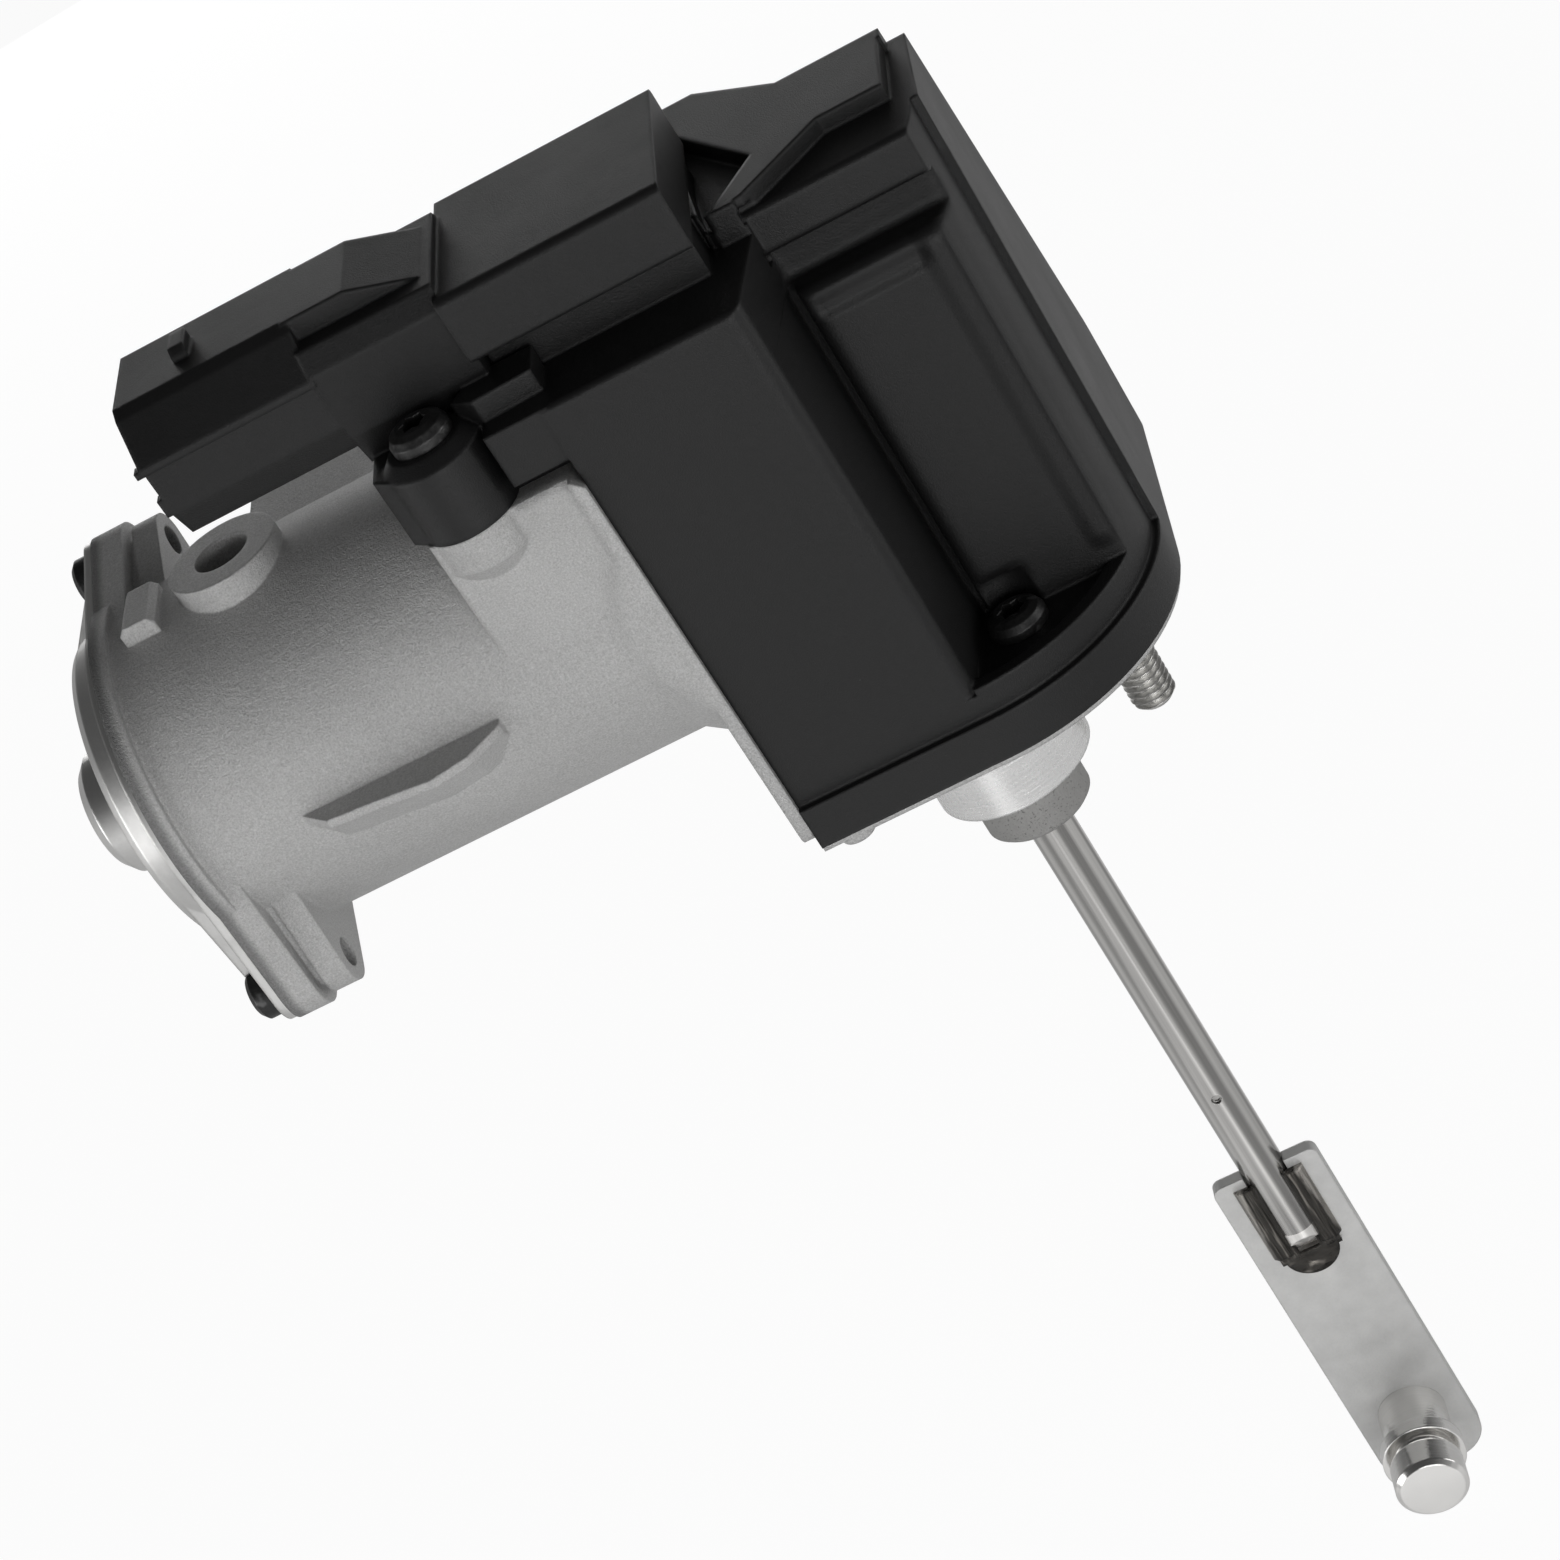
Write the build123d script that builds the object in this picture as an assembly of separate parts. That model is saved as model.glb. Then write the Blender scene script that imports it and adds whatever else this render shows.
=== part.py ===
from build123d import *
import math
import os

os.makedirs("parts", exist_ok=True)

# Electric wastegate actuator. Millimetres.
# Origin: push rod axis where it meets the mounting face. +Z points away from the lever end,
# +X runs along the motor from its end cap to the gearbox, -Y is the front.

# Fits
press_clear = 0.02
slip_clear = 0.05
running_clear = 0.04
move_clear = 0.4

# Push rod and its lever end
rod_d = 6.0
rod_low_z = -97.9
rod_high_z = 26.0
stroke = 12.0
rod_overlap = 15.5
plate_w = 15.2
plate_t = 2.0
plate_front_y = -1.5
plate_top_r = 1.4
plate_end_r = 5.0
plate_end = 11.0
pin_z = -132.0
pin_base_d = 9.6
pin_ring_d = 11.6
pin_groove_d = 8.4
pin_tip_d = 10.2
pin_base_len = 7.4
pin_ring_len = 2.2
pin_groove_len = 1.5
pin_tip_len = 4.7
rivet_d = 7.2
rod_mark_z = -67.5
rod_mark_d = 1.4
weld_w = 1.7
weld_h = 1.1
weld_pool_h = 0.6
slot_gap = 0.6

# Guide of the rod
spigot_d = 21.0
spigot_len = 9.0
bush_d = 14.4
bush_low_z = -16.3
bush_high_z = -1.0
seal_d = 12.0
seal_high_z = 2.5

# Gearbox plan
plan_front_y = -14.3
plan_back_y = 50.2
plan_left_x = -23.0
plan_right_x = 29.4
plan_corner_r = 26.6
plan_back_r = 4.5
rim_step = 1.0
shell_t = 2.0
base_t = 4.0
base_lip = 0.8
rim_top_z = 6.8
pocket_z = 10.0
lip_top_z = 10.9
back_top_left_y = 38.5
back_top_right_y = 29.2
back_bend_x0 = 2.0
back_bend_x1 = 13.0
flush_y = 11.6
roof_t = 2.0

# Motor and its tube
motor_y = 9.7
motor_z = 36.5
tube_r = 23.25
tube_t = 3.0
can_t = 1.2
magnet_t = 3.5
air_gap = 0.7
can_inset = 0.5
can_x1 = -33.2
flange_x = -91.5
flange_t = 4.6
rear_rib_t = 3.6
rib_gap = 1.0
ear_reach = 4.9
low_ear_extra = 0.9
ear_r = 4.8
ear_angle = 50.0
cap_t = 1.2
cap_step = 1.05
cap_depth = 5.0
cap_boss_r = 8.5
cap_boss_len = 13.0
shaft_r = 2.0
bearing_r = 5.0
bearing_w = 4.0

# Wall between motor and gearbox
wall_t = 1.6
wall_low_z = 1.8
wall_chamfer = 1.4
slab_x = -43.2
slab_front_y = -12.8
slab_back_y = 32.2
split_gap = 0.25

# Heights of the cover above the joint with the motor housing
front_rise = 9.4
right_rise = 11.6
plateau_rise = 14.0
lug_rise = 10.9
box_low_rise = 16.0
box_high_rise = 24.6
conn_low_rise = 11.5
conn_high_rise = 28.9

# Gear train: modules and tooth counts
mod_one = 0.6
mod_two = 0.7
mod_three = 0.8
mod_rack = 1.0
motor_count = 13
one_big_count = 43
one_small_count = 13
two_big_count = 35
two_small_count = 12
out_big_count = 35
out_small_count = 14
tooth_backlash = 0.07
addendum = 0.8
dedendum = 1.15
pressure = math.radians(20)
output_z = 21.5
gear_w = 4.0
layer_gap = 0.7
rack_w = 4.6
pin_one_d = 4.0
pin_two_d = 3.0
output_shaft_d = 5.0

# Screws and studs
screw_d = 4.0
screw_head_d = 7.8
screw_head_h = 2.6
low_screw_x = 10.1
low_screw_y = -2.6
lug_x = -37.3
lug_y = -8.8
lug_r = 6.4
back_ear_x = 12.0
back_ear_y = plan_back_y + 3.3
back_ear_r = 6.0
stud_d = 6.0
stud_low_z = -14.0
stud_high_z = 6.2
stud_shank_d = 7.4
studs_at = [(18.5, 7.0), (-14.5, 36.0), (17.5, 37.0)]

# Connector socket and electronics box
conn_x0 = -68.6
conn_x1 = -45.0
conn_front_y = -6.5
conn_back_y = 16.5
box_x0 = -28.0
box_x1 = 1.2
box_front_y = -7.5
box_back_y = 20.5
terminal_t = 0.8
terminal_w = 1.4
terminal_count = 5
terminal_pitch = 2.7

# Sizes that follow from these
plate_back_y = plate_front_y + plate_t
plate_top_z = rod_low_z + rod_overlap
plate_low_z = pin_z - plate_end
can_x0 = flange_x + can_inset
can_r = tube_r - tube_t - slip_clear
magnet_r = can_r - can_t
armature_r = magnet_r - magnet_t - air_gap
cap_r = tube_r - cap_step
cap_boss_end_x = flange_x - cap_boss_len
ear_dist = tube_r + ear_reach
split_z = motor_z + tube_r + split_gap
front_top_z = split_z + front_rise
right_top_z = split_z + right_rise
plateau_top_z = split_z + plateau_rise
lug_top_z = split_z + lug_rise
box_low_z = split_z + box_low_rise
box_top_z = split_z + box_high_rise
conn_low_z = split_z + conn_low_rise
conn_top_z = split_z + conn_high_rise
beyond = conn_top_z + plan_right_x


def block(x0, x1, y0, y1, z0, z1):
    return Pos((x0 + x1) / 2, (y0 + y1) / 2, (z0 + z1) / 2) * Box(x1 - x0, y1 - y0, z1 - z0)


def rod_x(r, x0, x1, y, z):
    return Pos((x0 + x1) / 2, y, z) * Rot(0, 90, 0) * Cylinder(r, x1 - x0)


def rod_y(r, y0, y1, x, z):
    return Pos(x, (y0 + y1) / 2, z) * Rot(90, 0, 0) * Cylinder(r, y1 - y0)


def rod_z(r, z0, z1, x, y):
    return Pos(x, y, (z0 + z1) / 2) * Cylinder(r, z1 - z0)


def ring_x(r0, r1, x0, x1, y, z):
    return rod_x(r1, x0, x1, y, z) - rod_x(r0, x0 - 1, x1 + 1, y, z)


def face_xy(points):
    return make_face(Polyline([(x, y) for x, y in points], close=True))


def prism_z(points, z0, z1):
    return Pos(0, 0, z0) * extrude(face_xy(points), z1 - z0)


def plane_x(x, y=0.0, z=0.0):
    return Plane(origin=(x, y, z), x_dir=(0, 1, 0), z_dir=(1, 0, 0))


def prism_x(points, x0, x1, y=0.0, z=0.0):
    return plane_x(x0, y, z) * extrude(face_xy(points), x1 - x0)


def plan(inset, z0, z1):
    x0 = plan_left_x
    x1 = plan_right_x - inset
    y0 = plan_front_y + inset
    y1 = plan_back_y - inset
    rf = plan_corner_r - inset
    rb = plan_back_r - inset
    edges = [
        Line((x0, y0), (x1 - rf, y0)),
        CenterArc((x1 - rf, y0 + rf), rf, -90, 90),
        Line((x1, y0 + rf), (x1, y1 - rb)),
        CenterArc((x1 - rb, y1 - rb), rb, 0, 90),
        Line((x1 - rb, y1), (x0, y1)),
        Line((x0, y1), (x0, y0)),
    ]
    return Pos(0, 0, z0) * extrude(make_face(edges), z1 - z0)


def back_cut(inset):
    # What lies behind the leaning back of the cover, moved forward by an inset.
    low = (plan_back_y - rim_step - inset, rim_top_z)
    ends = [(beyond, beyond), (beyond, rim_top_z)]
    left_y = back_top_left_y - inset
    right_y = back_top_right_y - inset
    left = [low, (left_y, plateau_top_z), (left_y, beyond)] + ends
    right = [low, (right_y, plateau_top_z), (right_y, beyond)] + ends
    bend = loft([plane_x(back_bend_x0) * face_xy(left), plane_x(back_bend_x1) * face_xy(right)], ruled=True)
    return prism_x(left, -beyond, back_bend_x0) + bend + prism_x(right, back_bend_x1, beyond)


def ear_centres(dist):
    # Both cap screws as seen from the gearbox, the upper one at the back first.
    a = math.radians(ear_angle)
    return [(s * d * math.cos(a), s * d * math.sin(a)) for s, d in ((1, dist), (-1, dist + low_ear_extra))]


def ear_plate(x0, x1, r_mid, r_ear, dist):
    ears = [e for p in ear_centres(dist) for e in (Pos(*p) * Circle(r_ear)).edges()]
    outline = make_hull(Circle(r_mid).edges() + ears)
    return plane_x(x0, motor_y, motor_z) * extrude(outline, x1 - x0)


# Gears
def involute(angle):
    return math.tan(angle) - angle


def gear_points(teeth, module, fine):
    r_pitch = teeth * module / 2
    r_base = r_pitch * math.cos(pressure)
    r_tip = r_pitch + addendum * module
    r_root = r_pitch - dedendum * module
    half = math.pi / (2 * teeth) - tooth_backlash * module / r_pitch / 2 + involute(pressure)

    def spread(r):
        if r <= r_base:
            return half
        return half - involute(math.acos(r_base / r))

    radii = [r_root, max(r_base, r_root + 0.1), r_pitch, r_tip] if fine else [r_root, r_tip]
    points = []
    for i in range(teeth):
        mid = 2 * math.pi * i / teeth
        for r in radii:
            points.append((r * math.cos(mid - spread(r)), r * math.sin(mid - spread(r))))
        for r in reversed(radii):
            points.append((r * math.cos(mid + spread(r)), r * math.sin(mid + spread(r))))
    return points


def turned(points, angle):
    c = math.cos(angle)
    s = math.sin(angle)
    return [(c * x - s * y, s * x + c * y) for x, y in points]


def mesh_angle(teeth_a, angle_a, toward, teeth_b):
    # A gap of gear b faces the tooth pattern of gear a across the line of centres.
    pitch_a = 2 * math.pi / teeth_a
    pitch_b = 2 * math.pi / teeth_b
    phase = ((toward - angle_a) / pitch_a) % 1.0
    return toward + math.pi + (phase - 0.5) * pitch_b


def gear_solid(teeth, module, angle, x0, x1, y, z, fine):
    return prism_x(turned(gear_points(teeth, module, fine), angle), x0, x1, y, z)


dist_one = mod_one * (motor_count + one_big_count) / 2
dist_two = mod_two * (one_small_count + two_big_count) / 2
dist_three = mod_three * (two_small_count + out_big_count) / 2
gear_one_z = motor_z + dist_one
drop = gear_one_z - output_z
along = (dist_two**2 - dist_three**2 + drop**2) / (2 * drop)
gear_two_y = motor_y + math.sqrt(dist_two**2 - along**2)
gear_two_z = gear_one_z - along
rack_r = mod_rack * out_small_count / 2
rack_y = motor_y - rack_r

to_one = math.pi / 2
to_two = math.atan2(gear_two_z - gear_one_z, gear_two_y - motor_y)
to_out = math.atan2(output_z - gear_two_z, motor_y - gear_two_y)
ang_motor = 0.0
ang_one_big = mesh_angle(motor_count, ang_motor, to_one, one_big_count)
ang_one_small = ang_one_big
ang_two_big = mesh_angle(one_small_count, ang_one_small, to_two, two_big_count)
ang_two_small = ang_two_big
ang_out_big = mesh_angle(two_small_count, ang_two_small, to_out, out_big_count)
ang_out_small = ang_out_big

layer_one = plan_left_x + 1.2
layer_two = layer_one + gear_w + layer_gap
layer_three = layer_two + gear_w + layer_gap
layer_rack = layer_three + gear_w + 0.3
rack_x0 = layer_rack + 0.3
rack_x1 = rack_x0 + rack_w

motor_pinion = gear_solid(motor_count, mod_one, ang_motor, layer_one, layer_one + gear_w, motor_y, motor_z, True)
motor_pinion -= rod_x(shaft_r, layer_one - 1, layer_one + gear_w + 1, motor_y, motor_z)

gear_one = gear_solid(one_big_count, mod_one, ang_one_big, layer_one, layer_one + gear_w - 0.4,
                      motor_y, gear_one_z, False)
gear_one += rod_x(3.6, layer_one - 0.8, layer_one, motor_y, gear_one_z)
gear_one += gear_solid(one_small_count, mod_two, ang_one_small, layer_one + gear_w - 0.4,
                       layer_two + gear_w, motor_y, gear_one_z, True)
gear_one -= rod_x(pin_one_d / 2 + running_clear, plan_left_x - 1, 0, motor_y, gear_one_z)

gear_two = gear_solid(two_big_count, mod_two, ang_two_big, layer_two + 0.3, layer_two + gear_w,
                      gear_two_y, gear_two_z, False)
gear_two += rod_x(2.8, plan_left_x + 0.4, layer_two + 0.3, gear_two_y, gear_two_z)
gear_two += gear_solid(two_small_count, mod_three, ang_two_small, layer_two + gear_w,
                       layer_three + gear_w, gear_two_y, gear_two_z, True)
gear_two -= rod_x(pin_two_d / 2 + running_clear, plan_left_x - 1, 0, gear_two_y, gear_two_z)

output_gear = gear_solid(out_big_count, mod_three, ang_out_big, layer_three + 0.3, layer_three + gear_w,
                         motor_y, output_z, False)
output_gear += rod_x(4.6, plan_left_x + 0.4, layer_three + 0.3, motor_y, output_z)
output_gear += gear_solid(out_small_count, mod_rack, ang_out_small, layer_three + gear_w, rack_x1 - 0.4,
                          motor_y, output_z, True)
output_gear -= rod_x(output_shaft_d / 2, plan_left_x - 1, 10, motor_y, output_z)

# The shaft ends, pins and bearings of the train
pin_seat = 7.0
pin_head_gap = 0.3
pin_head_t = 1.0
pin_one_head_r = 3.0
pin_two_head_r = 2.4
bush_len = 8.0
out_bush_r = 4.2
magnet_x0 = 3.2
sensor_magnet_r = 3.6
sensor_magnet_len = 4.2
shaft_in_magnet = 2.8
shaft_end_x = magnet_x0 + shaft_in_magnet


def gear_pin(r, r_head, head_x, y, z):
    pin = rod_x(r, plan_left_x - pin_seat, head_x, y, z)
    return pin + rod_x(r_head, head_x, head_x + pin_head_t, y, z)


gear_one_pin = gear_pin(pin_one_d / 2, pin_one_head_r, layer_two + gear_w + pin_head_gap, motor_y, gear_one_z)
gear_two_pin = gear_pin(pin_two_d / 2, pin_two_head_r, layer_three + gear_w + pin_head_gap, gear_two_y,
                        gear_two_z)
output_shaft = rod_x(output_shaft_d / 2, plan_left_x - bush_len, shaft_end_x, motor_y, output_z)
output_bush = ring_x(output_shaft_d / 2 + running_clear, out_bush_r, plan_left_x - bush_len, plan_left_x,
                     motor_y, output_z)
sensor_magnet = rod_x(sensor_magnet_r, magnet_x0, magnet_x0 + sensor_magnet_len, motor_y, output_z)
sensor_magnet -= rod_x(output_shaft_d / 2, magnet_x0 - 1, shaft_end_x, motor_y, output_z)

# Rack on the rod: a toothed bar beside the output pinion, with a saddle that is pinned to the rod
rack_end = 4.6
rack_low_z = output_z - stroke - rack_end
rack_high_z = output_z + rack_end
rack_root_y = rack_y - dedendum * mod_rack
rack_tip_y = rack_y + addendum * mod_rack
rack_pitch = math.pi * mod_rack
rack_back_y = -rack_end
saddle_front_y = -4.8
saddle_back_y = 4.4
saddle_x1 = 1.2
saddle_lap = 1.0
carrier_pin_r = 0.8
carrier_pin_x = -0.6
carrier_pin_z = rack_low_z + 3.2
meet = (math.pi - ang_out_small) / (2 * math.pi / out_small_count)
first_gap = output_z + (meet % 1.0) * rack_pitch
half_tooth = rack_pitch / 4 - tooth_backlash / 2
half_top = half_tooth - addendum * mod_rack * math.tan(pressure)
half_foot = half_tooth + dedendum * mod_rack * math.tan(pressure)
rack_points = [(rack_root_y, rack_low_z)]
tooth_z = first_gap + rack_pitch / 2
tooth_z -= rack_pitch * math.floor((tooth_z - half_foot - rack_low_z) / rack_pitch)
while tooth_z + half_foot < rack_high_z:
    rack_points.append((rack_root_y, tooth_z - half_foot))
    rack_points.append((rack_tip_y, tooth_z - half_top))
    rack_points.append((rack_tip_y, tooth_z + half_top))
    rack_points.append((rack_root_y, tooth_z + half_foot))
    tooth_z += rack_pitch
rack_points.append((rack_root_y, rack_high_z))
rack_points.append((rack_back_y, rack_high_z))
rack_points.append((rack_back_y, rack_low_z))
rack_carrier = prism_x(rack_points, rack_x0, rack_x1)
rack_carrier += block(rack_x1, saddle_x1, saddle_front_y, saddle_back_y, rack_low_z, rack_high_z)
rack_carrier += block(rack_x1 - saddle_lap, rack_x1, saddle_front_y, rack_root_y, rack_low_z, rack_high_z)
rack_carrier -= rod_z(rod_d / 2, rack_low_z - 1, rack_high_z + 1, 0, 0)
rack_carrier -= rod_y(carrier_pin_r, saddle_front_y - 1, saddle_back_y + 1, carrier_pin_x, carrier_pin_z)
carrier_pin = rod_y(carrier_pin_r, saddle_front_y, saddle_back_y, carrier_pin_x, carrier_pin_z)

# Push rod, its lower end cut away at a slant
rod_cut_angle = 38.0
rod_cut_t = 4.0
rod_cut_len = 9.0
rod_mark_depth = 0.5
push_rod = rod_z(rod_d / 2, rod_low_z, rod_high_z, 0, 0)
push_rod -= Pos(0, -rod_d / 2, rod_low_z) * Rot(rod_cut_angle, 0, 0) * Box(rod_d + 2, rod_cut_t, rod_cut_len)
push_rod -= rod_y(carrier_pin_r, -rod_d, rod_d, carrier_pin_x, carrier_pin_z)
push_rod -= rod_y(rod_mark_d / 2, -rod_d, rod_mark_depth - rod_d / 2, 0, rod_mark_z)

# End plate, slotted for the rod and holed for the pin's rivet
slot_low_z = rod_low_z - slot_gap
end_plate = block(-plate_w / 2, plate_w / 2, plate_front_y, plate_back_y, plate_low_z, plate_top_z)
end_plate = fillet(end_plate.edges().filter_by(Axis.Y).group_by(Axis.Z)[-1], plate_top_r)
end_plate = fillet(end_plate.edges().filter_by(Axis.Y).group_by(Axis.Z)[0], plate_end_r)
end_plate -= block(-rod_d / 2, rod_d / 2, plate_front_y - 1, plate_back_y + 1, slot_low_z, plate_top_z + 1)
end_plate -= rod_y(rivet_d / 2, plate_front_y - 1, plate_back_y + 1, 0, pin_z)

# Weld: a bead on each side of the rod and a pool under its end
bead_end = 1.5
bead_off = 0.3
bead_chamfer = 0.8
pool_ring = 0.9
pool_wing = 1.4
pool_high = 3.0
pool_gap_w = 3.0
pool_gap_z = slot_low_z + 0.8
weld_front_y = plate_front_y - weld_h
pool_front_y = plate_front_y - weld_pool_h
pool_x = rod_d / 2 + pool_wing
weld_seam = Part()
for side in (-1, 1):
    bead = block(-weld_w, weld_w, weld_front_y, plate_front_y, slot_low_z + bead_end, plate_top_z - bead_end)
    bead = chamfer(bead.edges().filter_by(Axis.Z).group_by(Axis.Y)[0], bead_chamfer)
    weld_seam += Pos(side * (rod_d / 2 + bead_off), 0, 0) * bead
weld_seam += rod_y(rod_d / 2 + pool_ring, pool_front_y, plate_front_y, 0, slot_low_z + slot_gap)
weld_seam += block(-pool_x, pool_x, pool_front_y, plate_front_y, slot_low_z, slot_low_z + pool_high)
weld_seam -= push_rod
weld_seam -= block(-pool_gap_w / 2, pool_gap_w / 2, plate_front_y - plate_t, plate_back_y, pool_gap_z,
                   plate_top_z + 1)

# Lever pin: shank, collar, clip groove and tip in one turned piece, riveted into the plate
tip_chamfer = 0.7
lever_pin = Part()
at = plate_front_y
for radius, length in ((pin_base_d / 2, pin_base_len), (pin_ring_d / 2, pin_ring_len),
                       (pin_groove_d / 2, pin_groove_len), (pin_tip_d / 2, pin_tip_len)):
    lever_pin += rod_y(radius, at - length, at, 0, pin_z)
    at -= length
lever_pin = chamfer(lever_pin.faces().sort_by(Axis.Y)[0].edges(), tip_chamfer)
lever_pin += rod_y(rivet_d / 2, plate_front_y - 0.5, plate_back_y, 0, pin_z)

# Guide bush and wiper
bush_chamfer = 0.5
rod_bush = rod_z(bush_d / 2, bush_low_z, bush_high_z, 0, 0)
rod_bush = chamfer(rod_bush.faces().sort_by(Axis.Z)[0].edges(), bush_chamfer)
rod_bush -= rod_z(rod_d / 2 + running_clear, bush_low_z - 1, bush_high_z + 1, 0, 0)
rod_seal = rod_z(seal_d / 2, bush_high_z, seal_high_z, 0, 0)
rod_seal -= rod_z(rod_d / 2 + running_clear, bush_high_z - 1, seal_high_z + 1, 0, 0)

# Cast housing: base plate with its spigot and the wall between motor and gearbox
base_edge = 0.4
base_inset = shell_t + rim_step
inside = base_inset + slip_clear
wall_x0 = plan_left_x - wall_t
wall_foot_r = 2.0
housing = plan(base_edge, 0.0, base_lip)
housing += plan(inside, base_lip, base_t)
housing += rod_z(spigot_d / 2, -spigot_len, 0, 0, 0)
wall = block(wall_x0, plan_left_x, plan_front_y, plan_back_y - rim_step, wall_low_z, split_z)
wall = chamfer(wall.edges().filter_by(Axis.Y).group_by(Axis.Z)[-1].sort_by(Axis.X)[-1], wall_chamfer)
wall = fillet(wall.edges().filter_by(Axis.X).group_by(Axis.Z)[0].sort_by(Axis.Y)[0], wall_foot_r)
housing += wall - back_cut(0.0)
bump_x = -18.6
bump_y = plan_front_y + 2.6
bump_r = 2.3
bump_h = 0.9
housing += rod_z(bump_r, -bump_h, base_lip, bump_x, bump_y)

# Motor tube, flared into the wall, with the slab that carries the cover's shoulder
flare_w = 3.2
flare_len = 5.0
slab_edge_r = 1.0
rear_pad = (-70.5, 17.5, 8.0, 21.8)
housing += rod_x(tube_r, flange_x + 1, plan_left_x - 1, motor_y, motor_z)
flare = Cone(tube_r + flare_w, tube_r, flare_len, align=(Align.CENTER, Align.CENTER, Align.MIN))
flare = Pos(wall_x0, motor_y, motor_z) * Rot(0, -90, 0) * flare
housing += flare & block(wall_x0 - flare_len, 0, plan_front_y, slab_back_y, wall_low_z, split_z)
slab = block(slab_x, wall_x0, slab_front_y, slab_back_y, motor_z, split_z)
slab = fillet(slab.edges().filter_by(Axis.Z).group_by(Axis.X)[0], slab_edge_r)
housing += slab
housing += block(rear_pad[0], slab_x, motor_y, motor_y + rear_pad[1], motor_z + rear_pad[2], motor_z + rear_pad[3])

# Two lug feet under the cover's shoulder, each running down into the tube
foot_h = 4.5
foot_lean = 0.9
lug_ys = (lug_y, 2 * motor_y - lug_y)
for y in lug_ys:
    housing += rod_z(lug_r, split_z - foot_h, split_z, lug_x, y)
    lean = foot_lean if y < motor_y else -foot_lean
    housing += Pos(lug_x, y, split_z - foot_h) * extrude(Circle(lug_r), 5.0, dir=(0, lean, -1))

# Motor flange: a thin collar, a front rib and a rear rib that both carry the ears
collar_h = 1.0
collar_w = 2.4
rear_dist = ear_dist - 0.4
rear_ear_r = ear_r - 0.6
rib_x1 = flange_x + flange_t
rib_x2 = rib_x1 + rib_gap
rib_x3 = rib_x2 + rear_rib_t
housing += rod_x(tube_r + collar_h, flange_x, flange_x + collar_w, motor_y, motor_z)
housing += ear_plate(flange_x, rib_x1, tube_r - 0.6, ear_r, ear_dist)
housing += ear_plate(rib_x1, rib_x2, tube_r - 3.0, ear_r - 2.0, rear_dist)
housing += ear_plate(rib_x2, rib_x3, tube_r - 4.0, rear_ear_r, rear_dist)

# Ring boss and the small stop block beside it
ring_x_at = -71.6
ring_y_at = motor_y - 0.6
ring_r = 7.5
ring_bore_r = 3.75
ring_depth = 4.4
ring_top_z = motor_z + tube_r + 2.2
stop_y0 = 3.5
stop_y1 = 12.5
stop_chamfer = 0.8
housing += rod_z(ring_r, motor_z + tube_r / 2, ring_top_z, ring_x_at, ring_y_at)
stop = block(rib_x3 - 4.2, rib_x3 + 0.6, stop_y0, stop_y1, motor_z + tube_r / 2, motor_z + tube_r + 1.6)
stop = chamfer(stop.edges().filter_by(Axis.Y).group_by(Axis.Z)[-1], stop_chamfer)
housing += stop

# Ledge on the front of the tube, a curved shelf that runs out below into the tube's side
ledge_t = 1.2
ledge_low = 6.5
ledge_h = 10.0
ledge_reach = 40.0
ledge_root_y = motor_y - tube_r + 2
ledge_points = [(-75.4, ledge_root_y), (-75.4, -13.0), (-71.5, -17.2), (-64.0, -18.4), (-57.0, -19.8),
                (-52.0, -18.6), (-47.6, -15.0), (-47.6, ledge_root_y)]
ledge = prism_z(ledge_points, motor_z - ledge_t, motor_z)
ledge += Pos(0, 0, motor_z - ledge_t) * extrude(face_xy(ledge_points), ledge_low, dir=(0, 1.0, -1))
housing += ledge & block(slab_x - ledge_reach, slab_x, plan_front_y - tube_r, motor_y, motor_z - ledge_h, motor_z)

# Posts and feet inside the base
post_r = 4.6
stud_boss_r = 5.4
stud_boss_top = stud_high_z + 1.4
ear_in_r = back_ear_r - 0.4
inside_plan = plan(inside, 0, lip_top_z)
housing += rod_z(post_r, base_t - 1, pocket_z - shell_t, low_screw_x, low_screw_y) & inside_plan
for x, y in studs_at:
    housing += rod_z(stud_boss_r, base_t - 1, stud_boss_top, x, y) & inside_plan


def back_ear(r, z0, z1, y0):
    return rod_z(r, z0, z1, back_ear_x, back_ear_y) + block(back_ear_x - r, back_ear_x + r, y0, back_ear_y, z0, z1)


housing += back_ear(ear_in_r, 0, base_t, plan_back_y - 6)

# Openings of the housing
bearing_gap = 0.2
shaft_gap = 1.2
front_bearing_x0 = can_x1 + bearing_gap
front_bearing_x1 = front_bearing_x0 + bearing_w
low_screw_end = 2.0
up_screw_end = split_z - 8.0
wall_out_x = plan_left_x + 1
housing -= rod_x(can_r + slip_clear, flange_x - 1, can_x1, motor_y, motor_z)
housing -= rod_x(bearing_r + press_clear, can_x1 - 1, front_bearing_x1, motor_y, motor_z)
housing -= rod_x(shaft_r + shaft_gap, can_x1 - 1, wall_out_x, motor_y, motor_z)
housing -= rod_x(pin_one_d / 2, plan_left_x - pin_seat, wall_out_x, motor_y, gear_one_z)
housing -= rod_x(pin_two_d / 2, plan_left_x - pin_seat, wall_out_x, gear_two_y, gear_two_z)
housing -= rod_x(out_bush_r, plan_left_x - bush_len, wall_out_x, motor_y, output_z)
housing -= rod_z(bush_d / 2, -spigot_len - 1, bush_high_z, 0, 0)
housing -= rod_z(seal_d / 2, bush_high_z - 1, seal_high_z, 0, 0)
housing -= rod_z(rod_d / 2 + move_clear, 0, base_t + 1, 0, 0)
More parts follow.
